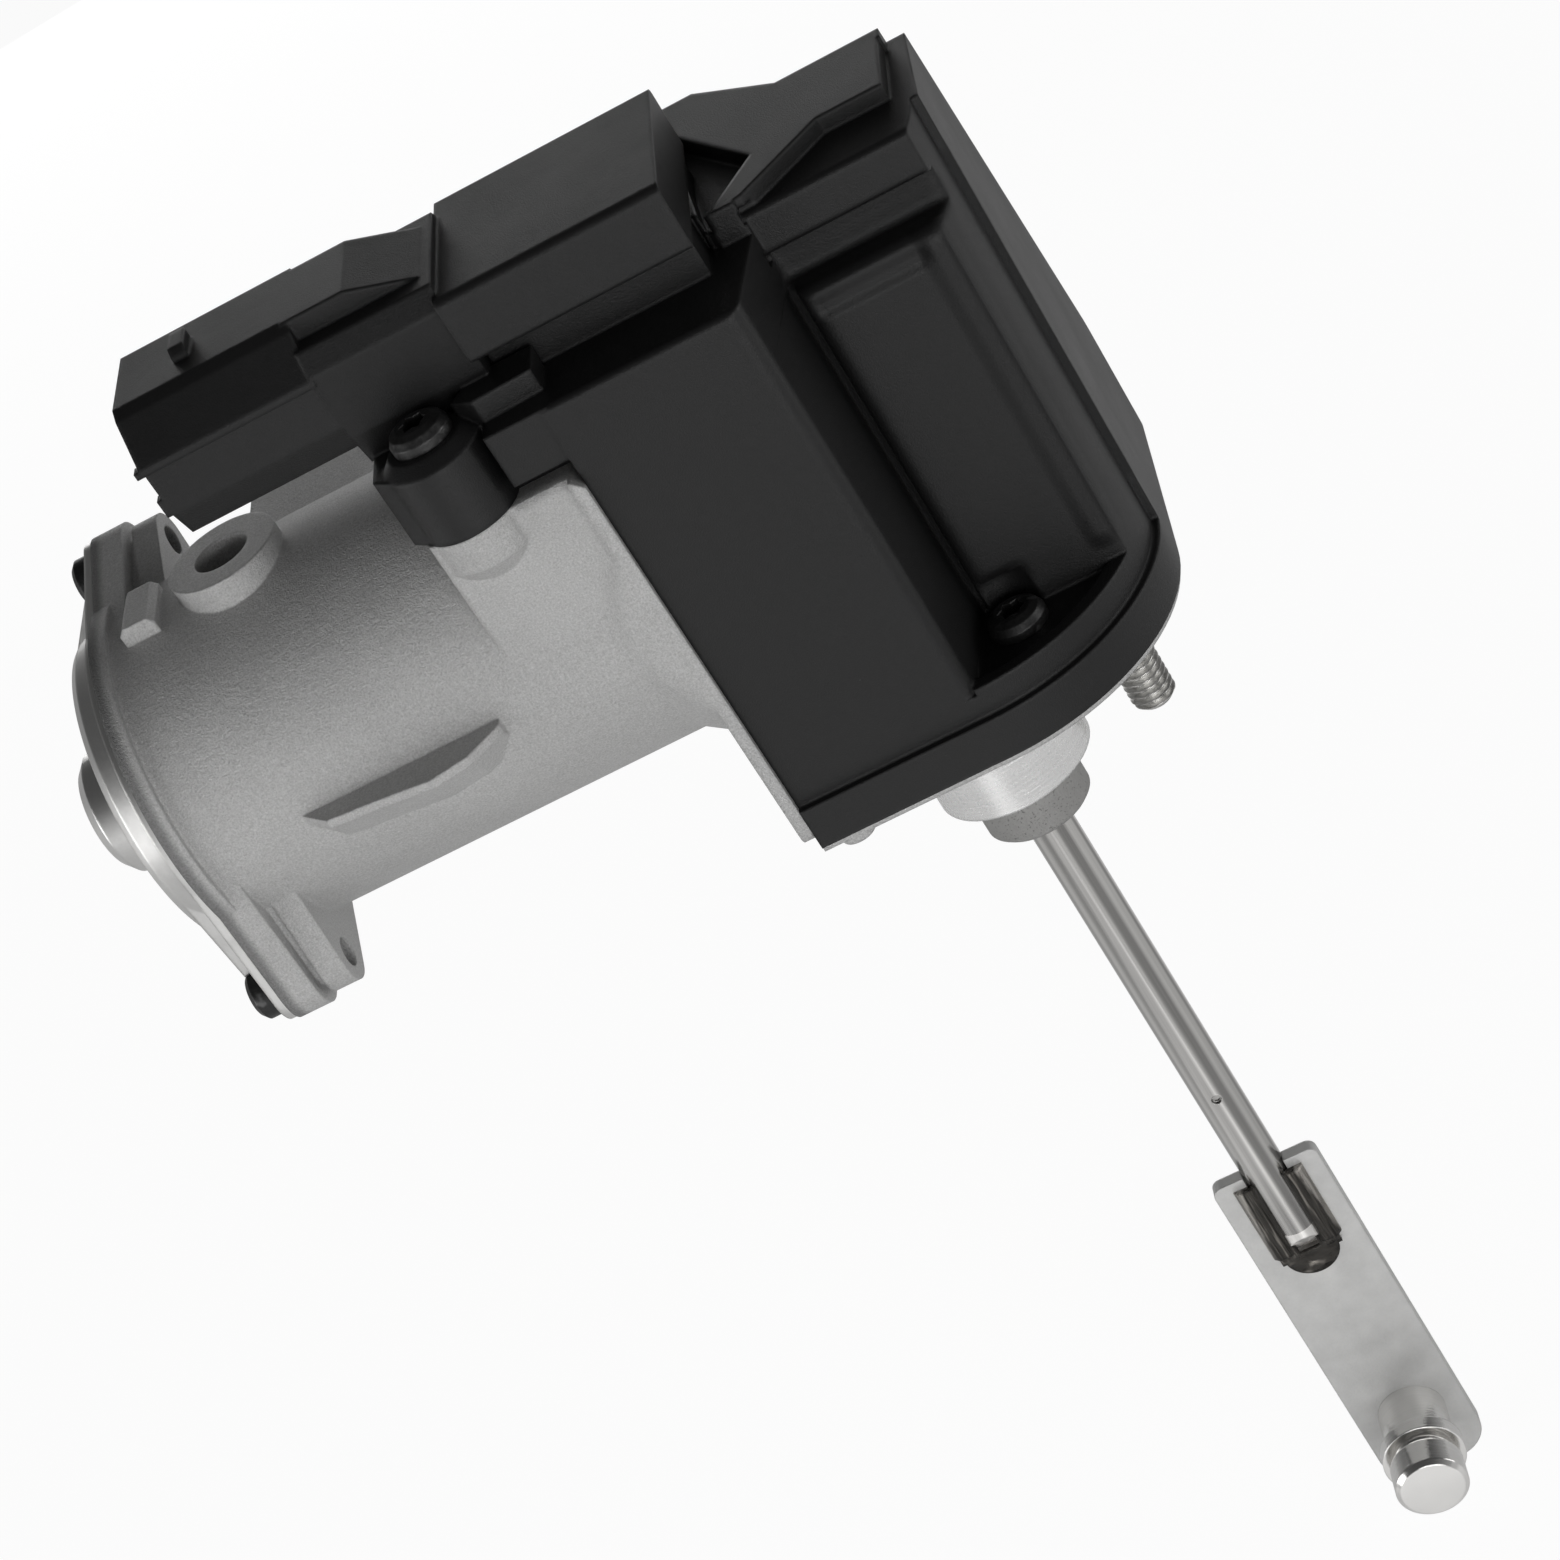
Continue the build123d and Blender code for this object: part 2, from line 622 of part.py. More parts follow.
housing -= rod_z(ring_bore_r, ring_top_z - ring_depth, ring_top_z + 1, ring_x_at, ring_y_at)
for x, y in studs_at:
    housing -= rod_z(stud_shank_d / 2, -1, stud_high_z, x, y)
cap_holes = [(motor_y + y, motor_z + z) for y, z in ear_centres(ear_dist)]
for y, z in cap_holes:
    housing -= rod_x(screw_d / 2, flange_x - 1, rib_x3 + 1, y, z)
housing -= rod_z(screw_d / 2, low_screw_end, pocket_z, low_screw_x, low_screw_y)
for y in lug_ys:
    housing -= rod_z(screw_d / 2, up_screw_end, split_z + 1, lug_x, y)
housing -= rod_z(screw_d / 2, -1, base_t + 1, back_ear_x, back_ear_y)

# Seals between housing and cover, and under the cap
seal_t = 0.9
seal_low_z = 1.6
seal_h = 1.3
cap_seal_w = 1.1
cap_seal_t = 1.2
seal_left_x = plan_left_x - seal_t
seal_front_y = plan_front_y + base_inset
seal_back_y = plan_back_y - base_inset
seal_top_z = split_z - wall_chamfer - 0.3
base_seal = plan(base_inset, seal_low_z, seal_low_z + seal_h) - plan(base_inset + seal_t, 0, base_t + 1)
side_seal = block(seal_left_x, plan_left_x, seal_front_y, seal_back_y, seal_low_z, seal_top_z) - back_cut(shell_t)
side_seal -= block(seal_left_x - 1, wall_out_x, seal_front_y + seal_t, seal_back_y - seal_t, 0,
                   seal_top_z - seal_t) - back_cut(shell_t + seal_t)
cover_gasket = base_seal + side_seal
housing -= cover_gasket
cap_seal = ring_x(cap_r - cap_seal_w + 0.2, cap_r + 0.2, flange_x, flange_x + cap_seal_t, motor_y, motor_z)
housing -= cap_seal

# Gearbox cover, outer body: front part, higher right part, plateau and rim
edge_r = 0.9
right_x0 = 0.8
right_y0 = 4.0
plateau_inset = rim_step + 1.4
side_x0 = 3.0
side_x1 = 5.9


def soft_top(solid, r):
    return fillet(solid.faces().sort_by(Axis.Z)[-1].edges(), r)


cover = soft_top(plan(rim_step, base_lip, front_top_z), edge_r)
cover += plan(rim_step, base_lip, right_top_z) & block(right_x0, beyond, right_y0, beyond, base_lip, right_top_z)
cover += plan(0.0, base_lip, rim_top_z)
ridge = [(-4.0, beyond), (-4.0, 10.0), (2.0, 3.2), (5.8, 3.2), (17.4, 13.8), (26.0, 13.8), (26.6, 27.0),
         (beyond, 27.0), (beyond, beyond)]
cover += prism_z(ridge, front_top_z - 1, plateau_top_z) & plan(plateau_inset, 0, beyond)
cover += plan(0.0, base_lip, right_top_z) & block(plan_right_x - 8, beyond, flush_y, beyond, 0, beyond)
cover -= back_cut(0.0)
pit = [(-1.6, 30.4), (8.6, 13.2), (2.6, 3.6), (1.3, 3.0)]
cover -= prism_z(pit, right_top_z, beyond)

# Set-back at the right front, with the raised panel and the dark slots around it
panel_x = 6.7
panel_lean = 0.5
panel_y = 0.3
panel_top_z = 61.0
slot_y = 3.8
slot_deep_y = 5.4
crown_low_z = 65.5
crown_y = 4.0
face_r = 2.0
panel_r = 1.7
front_y = plan_front_y + rim_step
out_y = plan_front_y - 6


def rounded(points, radii):
    face = face_xy(points)
    for corner, r in radii:
        face = fillet(face.vertices().sort_by_distance((corner[0], corner[1], 0))[0], r)
    return face


def side_cut(points, radii, z0, z1):
    edge = (side_x0, front_y)
    outline = [(side_x0 - 6, out_y), (side_x0 - 6, front_y), edge] + points + [(beyond, out_y)]
    return Pos(0, 0, z0) * extrude(rounded(outline, [(edge, face_r)] + radii), z1 - z0)


panel_edge = (panel_x + panel_lean, panel_y)
cover -= side_cut([(side_x1, slot_y), (panel_x, slot_y), panel_edge, (beyond, panel_y)], [(panel_edge, panel_r)],
                  pocket_z, panel_top_z)
cover -= side_cut([(side_x1 + 0.2, slot_deep_y), (beyond, slot_deep_y)], [], panel_top_z, crown_low_z)
cover -= side_cut([(side_x1, crown_y), (beyond, crown_y)], [], crown_low_z, beyond)
soft_edges = [(panel_y, panel_top_z, panel_r, 1), (crown_y, right_top_z, edge_r, 1),
              (crown_y, crown_low_z, edge_r, -1)]
for y, z, r, down in soft_edges:
    shave_z = sorted((z - down * r, z + down))
    shave = block(side_x1 - 0.4, beyond, y - 1, y + r, shave_z[0], shave_z[1])
    cover -= shave - rod_x(r, side_x1 - 1, beyond, y + r, z - down * r)
lip_w = 2.2
lip_back_y = 11.0
lip = plan(rim_step, pocket_z - 1, lip_top_z) - plan(rim_step + lip_w, pocket_z - 2, lip_top_z + 1)
cover += lip & block(side_x0, beyond, out_y, lip_back_y, 0, beyond)
head_room_r = screw_head_d / 2 + 0.7
head_room_len = 23.0
head_room_z = pocket_z + head_room_len
cover -= rod_z(head_room_r, pocket_z, head_room_z, low_screw_x, low_screw_y)

# Left shoulder over the housing, with two screw lugs and a bevelled front corner
shoulder_x0 = -45.0
shoulder_y0 = -9.2
shoulder_y1 = 28.6
lug_chamfer = 1.6
step_x0 = -30.3
step_in = 1.2
step_up = 2.2
cover += block(shoulder_x0, plan_left_x, shoulder_y0, shoulder_y1, split_z, front_top_z)
for y in lug_ys:
    lug = rod_z(lug_r, split_z, lug_top_z, lug_x, y)
    cover += chamfer(lug.faces().sort_by(Axis.Z)[-1].edges(), lug_chamfer)
corner = [(shoulder_x0, 0.0), (shoulder_x0, -10.0), (-40.6, -14.2), (-37.0, -14.8), (-37.0, 0.0)]
cover += prism_z(corner, split_z, front_top_z)
cover += block(step_x0, plan_left_x + 1, plan_front_y + step_in, 0, split_z + step_up, front_top_z)
nub = [(-32.8, -7.4), (-30.0, -9.4), (-22.2, -8.8), (-22.0, -3.0), (-30.0, -3.0)]
cover += prism_z(nub, front_top_z - 0.5, front_top_z + 3.2)

# Electronics box on its foot, and the bridge and ramp that join it to the socket
box_edge_r = 1.2
box_lap = 0.5
foot_y0 = -2.0
cover += block(box_x0 + 0.8, box_x1 - 1.0, foot_y0, box_back_y, front_top_z - 1, box_low_z + box_lap)
box = block(box_x0, box_x1, box_front_y, box_back_y, box_low_z, box_top_z)
cover += fillet(box.edges().filter_by(Axis.X).group_by(Axis.Z)[-1], box_edge_r)
bridge = [(-5.2, box_low_z - 2.5), (-6.4, box_low_z + 7.0), (-5.0, box_top_z + 1.4), (14.0, box_top_z + 1.4),
          (conn_back_y, box_top_z - 1.1), (conn_back_y, front_top_z - 0.4), (-3.5, front_top_z - 0.4)]
cover += prism_x(bridge, conn_x1 - box_lap, box_x0 + box_lap)
ramp_y0 = -2.0
ramp_y1 = 11.5
ramp = [(conn_x1 - 1, box_low_z + 4), (conn_x1 - 1, conn_top_z), (conn_x1 + 7.5, conn_top_z),
        (box_x0 + box_lap, box_top_z + 1.0), (box_x0 + box_lap, box_low_z + 4)]
cover += Pos(0, ramp_y1, 0) * extrude(Plane.XZ * face_xy(ramp), ramp_y1 - ramp_y0)

# Connector socket: upper shell with bevelled edges, a set-back skirt below, two rim lips and a latch nub
skirt_h = 10.3
shell_low_z = conn_low_z + skirt_h
skirt_in = 1.0
skirt_low_in = 3.2
bevel = 0.9
lip_x0 = conn_x0 - 0.7
latch_back = 8.2
latch_w = 2.0
slope_low_z = conn_top_z - 6.2
upper = [(-1.4, conn_top_z), (-2.9, conn_top_z - bevel), (conn_front_y, slope_low_z), (conn_front_y, shell_low_z),
         (conn_back_y, shell_low_z), (conn_back_y, slope_low_z), (ramp_y1 + 0.5, conn_top_z)]
skirt_y0 = conn_front_y + skirt_in
skirt_y1 = conn_back_y - skirt_in
skirt = [(skirt_y0, shell_low_z), (skirt_y0, conn_low_z + 4.0), (conn_front_y + skirt_low_in, conn_low_z),
         (conn_back_y - skirt_low_in, conn_low_z), (skirt_y1, conn_low_z + 4.0), (skirt_y1, shell_low_z)]
cover += prism_x(upper, conn_x0, conn_x1)
cover += prism_x(skirt, conn_x0, conn_x1)
cover += block(lip_x0, conn_x0 + 1, conn_front_y, conn_front_y + 1.6, shell_low_z, slope_low_z)
cover += block(lip_x0, conn_x0 + 1, skirt_y0, skirt_y0 + 1.6, conn_low_z + 4.0, conn_low_z + 6.4)
latch = [(2.6, conn_top_z - 1), (2.6, conn_top_z + 0.6), (3.4, conn_top_z + 1.6), (7.4, conn_top_z + 1.6),
         (7.4, conn_top_z - 1)]
cover += prism_x(latch, conn_x0 + latch_back, conn_x0 + latch_back + latch_w)
cover += back_ear(back_ear_r, base_t, pocket_z, plan_back_y - 3)

# Hollow of the cover, which keeps a wall behind every outer face
lean_wall = 1.7
high_x0 = 2.8
high_y0 = 5.8
keep_y = panel_y + shell_t
inner_x0 = side_x0 - lean_wall
inner_x1 = side_x1 - 1.45
hollow = plan(base_inset, base_lip - 1, front_top_z - roof_t)
hollow_top = plan(base_inset, front_top_z - roof_t - 1, right_top_z - roof_t)
hollow += hollow_top & block(high_x0, beyond, high_y0, beyond, 0, beyond)
hollow -= back_cut(shell_t + 0.1)
keep_low = [(inner_x0, out_y), (inner_x0, plan_front_y), (inner_x1, slot_y + 1.8), (panel_x + 1.9, slot_y + 1.8),
            (panel_x + 1.9, keep_y), (beyond, keep_y), (beyond, out_y)]
keep_high = [(inner_x0, out_y), (inner_x0, plan_front_y), (inner_x1, slot_deep_y + 1.8),
             (beyond, slot_deep_y + 1.8), (beyond, out_y)]
hollow -= prism_z(keep_low, pocket_z - shell_t, panel_top_z - shell_t)
hollow -= prism_z(keep_high, panel_top_z - shell_t, beyond)
hollow -= rod_z(head_room_r + shell_t, pocket_z - shell_t, head_room_z + shell_t, low_screw_x, low_screw_y)
cover -= hollow
cover -= back_ear(ear_in_r, 0, base_t, plan_back_y - 6)
cover -= block(shoulder_x0 + 2, plan_left_x + 0.5, shoulder_y0 + 7.0, shoulder_y1 - 2.6, split_z - 1,
               front_top_z - roof_t)
cover -= block(box_x0 + 2, box_x1 - 2, foot_y0 + 2, box_back_y - 2, front_top_z - roof_t - 1, box_top_z - 2)

# Mouth of the socket and screw holes of the cover
mouth_r = 1.6
mouth_x1 = -50.0
mouth_low_z = conn_low_z + 2.7
mouth_high_z = conn_top_z - 2.5
mouth = block(conn_x0 - 2, mouth_x1, conn_front_y + 3.9, conn_back_y - 3.9, mouth_low_z, mouth_high_z)
cover -= fillet(mouth.edges().filter_by(Axis.X), mouth_r)
through_r = screw_d / 2 + 0.2
cover -= rod_z(through_r, 0, pocket_z + 2, low_screw_x, low_screw_y)
cover -= rod_z(through_r, 0, pocket_z + 2, back_ear_x, back_ear_y)
for y in lug_ys:
    cover -= rod_z(through_r, split_z - 1, lug_top_z + 1, lug_x, y)

# Sensor board on four posts of the cover, and the sensor that faces the magnet
board_x0 = 9.4
board_t = 1.6
board_low_z = 12.5
board_high_z = split_z + 2.0
board_y0 = 7.6
board_y1 = 28.0
post_in = 3.0
board_post_r = 2.4
chip_t = 1.3
chip_half = 2.5
board_x1 = board_x0 + board_t
sensor_board = block(board_x0, board_x1, board_y0, board_y1, board_low_z, board_high_z)
hall_chip = block(board_x0 - chip_t, board_x0, motor_y - 2.0, motor_y + 3.0, output_z - chip_half,
                  output_z + chip_half)
for y in (board_y0 + post_in, board_y1 - post_in):
    for z in (board_low_z + post_in, board_high_z - 2 * post_in):
        cover += rod_x(board_post_r, board_x1, plan_right_x - rim_step - 1, y, z)

# Terminals, moulded into the cover: each blade turns down, steps sideways and runs to the board
blade_x0 = -62.0
blade_z = mouth_low_z + 5.4
blade_mid_y = (conn_front_y + conn_back_y) / 2
first_blade_y = blade_mid_y - (terminal_count - 1) / 2 * terminal_pitch
side_step = board_y0 + 3.4 - first_blade_y
tail_z = board_high_z - 2.0
tail_t = 1.0
last_drop_x = -4.4
drop_step = terminal_t + 0.8
connector_terminals = Part()
for i in range(terminal_count):
    y0 = first_blade_y + i * terminal_pitch - terminal_w / 2
    y1 = y0 + terminal_w
    drop_x = last_drop_x - i * drop_step
    blade = block(blade_x0, drop_x, y0, y1, blade_z, blade_z + terminal_t)
    blade += block(drop_x - terminal_t, drop_x, y0, y1, tail_z, blade_z + terminal_t)
    blade += block(drop_x - terminal_t, drop_x, y0, y1 + side_step, tail_z, tail_z + tail_t)
    blade += block(drop_x - terminal_t, board_x0, y0 + side_step, y1 + side_step, tail_z, tail_z + tail_t)
    connector_terminals += blade
cover -= connector_terminals

# Motor inside the tube: can, magnets, slotted core with its windings, and commutator
can_mouth_r = 6.5
brush_room = 9.0
front_room = 10.8
magnet_over = 3.0
magnet_edge = 5.5
magnet_m0 = can_x0 + brush_room
magnet_m1 = can_x1 - front_room
magnet_half = armature_r + 0.2
core_x0 = magnet_m0 + magnet_over
core_x1 = magnet_m1 - magnet_over
slot_count = 8
slot_half = 2.0
slot_mouth_half = 0.9
slot_in_r = 6.5
slot_out_r = armature_r - 2.4
coil_end = 3.6
coil_in_r = shaft_r + 2.0
comm_r = 5.0
comm_x0 = can_x0 + 1.0


def in_motor(angle, x0, x1, half, r0, r1):
    return Pos(0, motor_y, motor_z) * Rot(angle, 0, 0) * block(x0, x1, -half, half, r0, r1)


motor_can = ring_x(magnet_r, can_r, can_x0, can_x1, motor_y, motor_z)
motor_can += ring_x(can_mouth_r, magnet_r + 0.2, can_x1 - can_t, can_x1, motor_y, motor_z)
magnets = Part()
for angle in (90, 270):
    arc = ring_x(magnet_r - magnet_t, magnet_r, magnet_m0, magnet_m1, motor_y, motor_z)
    magnets += arc & in_motor(angle, magnet_m0, magnet_m1, magnet_half, magnet_edge, tube_r)
armature_core = rod_x(armature_r, core_x0, core_x1, motor_y, motor_z)
windings = Part()
for i in range(slot_count):
    angle = 360 / slot_count * i
    armature_core -= in_motor(angle, core_x0 - 1, core_x1 + 1, slot_mouth_half, slot_out_r - 1, tube_r)
    slot = in_motor(angle, core_x0, core_x1, slot_half, slot_in_r, slot_out_r)
    armature_core -= slot
    windings += slot
windings += ring_x(coil_in_r, slot_out_r, core_x1, core_x1 + coil_end, motor_y, motor_z)
windings += ring_x(coil_in_r, slot_out_r, core_x0 - coil_end, core_x0, motor_y, motor_z)
armature_core -= rod_x(shaft_r, core_x0 - 1, core_x1 + 1, motor_y, motor_z)
commutator = ring_x(shaft_r, comm_r, comm_x0, core_x0 - coil_end, motor_y, motor_z)

# Motor shaft and its two bearings
cap_back = 0.9
shaft_out = 0.6
rear_bearing_x1 = flange_x - cap_depth - cap_back
rear_bearing_x0 = rear_bearing_x1 - bearing_w
motor_shaft = rod_x(shaft_r, rear_bearing_x0, layer_one + gear_w + shaft_out, motor_y, motor_z)
front_bearing = ring_x(shaft_r + running_clear, bearing_r, front_bearing_x0, front_bearing_x1, motor_y, motor_z)
rear_bearing = ring_x(shaft_r + running_clear, bearing_r, rear_bearing_x0, rear_bearing_x1, motor_y, motor_z)

# Brush card with two guides, and the brushes that bear on the commutator
card_gap = 0.4
card_t = 1.6
guide_len = 5.0
guide_t = 1.4
brush_half = 2.0
guide_half = 3.0
guide_mid = (comm_r + magnet_r) / 2 - 1.0
brush_out = guide_mid + 2.5
card_x1 = can_x0 + card_gap + card_t
brush_card = ring_x(comm_r + 2.5, magnet_r, can_x0 + card_gap, card_x1, motor_y, motor_z)
brushes = Part()
for angle in (0, 180):
    for side in (-1, 1):
        guide = block(card_x1, card_x1 + guide_len, min(side * brush_half, side * (brush_half + guide_t)),
                      max(side * brush_half, side * (brush_half + guide_t)), guide_mid - guide_half,
                      guide_mid + guide_half)
        brush_card += Pos(0, motor_y, motor_z) * Rot(angle, 0, 0) * guide
    brushes += in_motor(angle, card_x1, card_x1 + guide_len - 0.6, brush_half, comm_r + running_clear, brush_out)

# Pressed end cap, a dished cup with a bearing boss and two ears
boss_x = cap_boss_end_x
dish_x = flange_x - cap_depth
cap_in_r = cap_r - cap_t
cap_flange = 0.9
seat_r = bearing_r + press_clear
cap_outline = [
    (flange_x, cap_in_r), (flange_x, cap_r + cap_flange), (flange_x - cap_t, cap_r + cap_flange),
    (flange_x - cap_t, cap_r), (dish_x + 1.4, cap_r - 0.6), (dish_x + 0.4, cap_r - 1.4), (dish_x, cap_r - 2.6),
    (dish_x - 1.8, cap_boss_r), (boss_x + 1.4, cap_boss_r - 0.2), (boss_x, cap_boss_r - 1.6), (boss_x, 0.0),
    (boss_x + cap_t, 0.0), (boss_x + cap_t, seat_r), (rear_bearing_x1, seat_r),
    (rear_bearing_x1, cap_boss_r - cap_t), (dish_x + cap_t, cap_in_r - 2.0), (flange_x - cap_t, cap_in_r),
]
cap_face = make_face(Polyline([(x, 0, r) for x, r in cap_outline], close=True))
end_cap = Pos(0, motor_y, motor_z) * revolve(cap_face, Axis.X, 360)
cap_ears = ear_plate(flange_x - cap_t, flange_x, cap_r + 0.6, ear_r - 0.3, ear_dist)
cap_ears += ear_plate(dish_x + 1.4, flange_x - cap_t, cap_r - 0.7, 3.6, ear_dist - 4.6)
cap_ears -= rod_x(cap_in_r, flange_x - cap_depth, flange_x + 1, motor_y, motor_z)
end_cap += cap_ears
cap_head_r = 3.4
cap_head_h = 3.0
cap_screw_len = 7.0
cap_screws = Part()
for y, z in cap_holes:
    end_cap -= rod_x(screw_d / 2, flange_x - cap_t - 1, flange_x + 1, y, z)
    end_cap -= rod_x(cap_head_r + 0.2, dish_x - 1, flange_x - cap_t, y, z)
    screw = rod_x(cap_head_r, flange_x - cap_t - cap_head_h, flange_x - cap_t, y, z)
    screw = chamfer(screw.faces().sort_by(Axis.X)[0].edges(), 0.7)
    cap_screws += screw + rod_x(screw_d / 2, flange_x - cap_t, flange_x + cap_screw_len, y, z)

# Cover screws: a domed head with a six-lobed recess
head_r = screw_head_d / 2
lobe_out = 1.95
lobe_in = 1.4
recess_depth = 1.7
star = []
for i in range(6):
    for r, a in ((lobe_out, i), (lobe_in, i + 0.5)):
        star.append((r * math.cos(math.pi / 3 * a), r * math.sin(math.pi / 3 * a)))


def cover_screw(x, y, seat, end):
    top = seat + screw_head_h
    dome = [(0, seat), (head_r, seat), (head_r, top - 1.4), (head_r - 0.5, top - 0.5), (head_r - 1.5, top),
            (0, top)]
    dome = make_face(Polyline([(r, 0, z) for r, z in dome], close=True))
    head = Pos(x, y, 0) * revolve(dome, Axis.Z, 360)
    head -= Pos(x, y, 0) * prism_z(star, seat + screw_head_h - recess_depth, seat + screw_head_h + 1)
    return head + rod_z(screw_d / 2, end, seat, x, y)


cover_screws = Part()
cover_screws += cover_screw(low_screw_x, low_screw_y, pocket_z, low_screw_end)
for y in lug_ys:
    cover_screws += cover_screw(lug_x, y, lug_top_z, up_screw_end)
cover_screws += cover_screw(back_ear_x, back_ear_y, pocket_z, 0.2)

# Mounting studs: a threaded end below the base and a wider shank pressed into it
stud_chamfer = 0.8
mounting_studs = Part()
for x, y in studs_at:
    stud = rod_z(stud_d / 2, stud_low_z, 0.0, x, y)
    stud = chamfer(stud.faces().sort_by(Axis.Z)[0].edges(), stud_chamfer)
    mounting_studs += stud + rod_z(stud_shank_d / 2, 0.0, stud_high_z, x, y)

# One file for every node
nodes = {
    "housing": housing,
    "gearbox_cover": cover,
    "cover_gasket": cover_gasket,
    "cover_screws": cover_screws,
    "end_cap": end_cap,
    "cap_seal": cap_seal,
    "cap_screws": cap_screws,
    "motor_can": motor_can,
    "magnets": magnets,
    "armature_core": armature_core,
    "windings": windings,
    "commutator": commutator,
    "motor_shaft": motor_shaft,
    "front_bearing": front_bearing,
    "rear_bearing": rear_bearing,
    "brush_card": brush_card,
    "brushes": brushes,
    "motor_pinion": motor_pinion,
    "gear_one": gear_one,
    "gear_one_pin": gear_one_pin,
    "gear_two": gear_two,
    "gear_two_pin": gear_two_pin,
    "output_gear": output_gear,
    "output_shaft": output_shaft,
    "output_bush": output_bush,
    "sensor_magnet": sensor_magnet,
    "rack_carrier": rack_carrier,
    "carrier_pin": carrier_pin,
    "push_rod": push_rod,
    "rod_bush": rod_bush,
    "rod_seal": rod_seal,
    "end_plate": end_plate,
    "weld_seam": weld_seam,
    "lever_pin": lever_pin,
    "mounting_studs": mounting_studs,
    "sensor_board": sensor_board,
    "hall_chip": hall_chip,
    "connector_terminals": connector_terminals,
}
for name, shape in nodes.items():
    export_step(shape, "parts/" + name + ".step")
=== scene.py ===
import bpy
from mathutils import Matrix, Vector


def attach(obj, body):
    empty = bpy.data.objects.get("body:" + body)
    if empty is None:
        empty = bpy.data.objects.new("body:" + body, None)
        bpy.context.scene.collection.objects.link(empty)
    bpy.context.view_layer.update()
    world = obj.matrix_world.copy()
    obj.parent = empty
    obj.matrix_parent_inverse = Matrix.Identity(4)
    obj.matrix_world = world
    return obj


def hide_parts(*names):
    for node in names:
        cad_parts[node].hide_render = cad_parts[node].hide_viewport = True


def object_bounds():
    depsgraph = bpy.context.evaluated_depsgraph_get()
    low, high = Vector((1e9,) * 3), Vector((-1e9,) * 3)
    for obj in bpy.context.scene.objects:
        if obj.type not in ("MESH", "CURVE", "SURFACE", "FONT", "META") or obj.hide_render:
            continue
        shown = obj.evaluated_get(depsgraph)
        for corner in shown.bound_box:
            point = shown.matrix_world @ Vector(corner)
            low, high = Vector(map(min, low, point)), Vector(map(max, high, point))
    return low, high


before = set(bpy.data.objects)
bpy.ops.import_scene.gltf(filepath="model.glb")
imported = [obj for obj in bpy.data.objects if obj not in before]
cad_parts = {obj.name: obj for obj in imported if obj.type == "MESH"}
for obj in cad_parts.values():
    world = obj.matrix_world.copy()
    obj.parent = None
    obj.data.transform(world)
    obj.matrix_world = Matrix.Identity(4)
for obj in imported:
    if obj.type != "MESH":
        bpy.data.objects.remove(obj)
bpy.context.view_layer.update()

import bmesh
import bpy
import numpy as np
from mathutils import Matrix, Vector

# The cast housing, one aluminium die casting that holds the motor, carries the gearbox and bolts
# to the turbocharger. Its skin is shot-blasted and grainy, and the spigot under the base, which
# centres the part in its bracket, is turned bright on a lathe.

base_low = -0.0002
spigot_reach = 0.0111
flare_start = -0.0310
flare_end = -0.0252
flare_fade = 0.0015
flare_low = 0.004
flange_seam = -0.0905
flange_dark_end = -0.0890
cast_edge = 0.0006
flare_edge = 0.0035
cast_tint = (1.0, 0.997, 0.99)


class Wire:
    """A socket of a material. Sums on wires and numbers add the Math nodes that work them out."""

    def __init__(self, tree, socket):
        self.tree = tree
        self.socket = socket

    def node(self, kind, settings, sockets, out=0):
        made = self.tree.nodes.new(kind)
        for key, value in settings.items():
            setattr(made, key, value)
        for key, value in sockets.items():
            if isinstance(value, Wire):
                self.tree.links.new(value.socket, made.inputs[key])
            else:
                made.inputs[key].default_value = value
        return Wire(self.tree, made.outputs[out])

    def math(self, operation, first, second=0.0):
        return self.node("ShaderNodeMath", {"operation": operation}, {0: first, 1: second})

    def __add__(self, other):
        return self.math("ADD", self, other)

    def __radd__(self, other):
        return self.math("ADD", other, self)

    def __sub__(self, other):
        return self.math("SUBTRACT", self, other)

    def __rsub__(self, other):
        return self.math("SUBTRACT", other, self)

    def __mul__(self, other):
        return self.math("MULTIPLY", self, other)

    def __rmul__(self, other):
        return self.math("MULTIPLY", other, self)

    def __pow__(self, other):
        return self.math("POWER", self, other)

    def __abs__(self):
        return self.math("ABSOLUTE", self)

    def __lt__(self, other):
        return self.math("LESS_THAN", self, other)

    def __gt__(self, other):
        return self.math("GREATER_THAN", self, other)


def open_material(name):
    """A new material: the wire of its Object coordinates, and its Principled shader."""
    material = bpy.data.materials.new(name)
    material.use_nodes = True
    tree = material.node_tree
    shader = tree.nodes["Principled BSDF"]
    coordinates = tree.nodes.new("ShaderNodeTexCoord")
    return material, Wire(tree, coordinates.outputs["Object"]), shader


def along(at, axis):
    """The coordinate along the axis X, Y or Z."""
    return at.node("ShaderNodeSeparateXYZ", {}, {0: at}, out=axis)


def noise(at, grains_per_metre, detail=3.0, stretch=(1, 1, 1), roughness=0.5):
    """Cloudy noise from 0 to 1. Its patches are 1 / grains_per_metre wide, and stretch draws them out."""
    scale = tuple(grains_per_metre / s for s in stretch)
    placed = at.node("ShaderNodeMapping", {}, {"Vector": at, "Scale": scale})
    return at.node("ShaderNodeTexNoise", {}, {"Vector": placed, "Scale": 1.0, "Detail": detail,
                                             "Roughness": roughness})


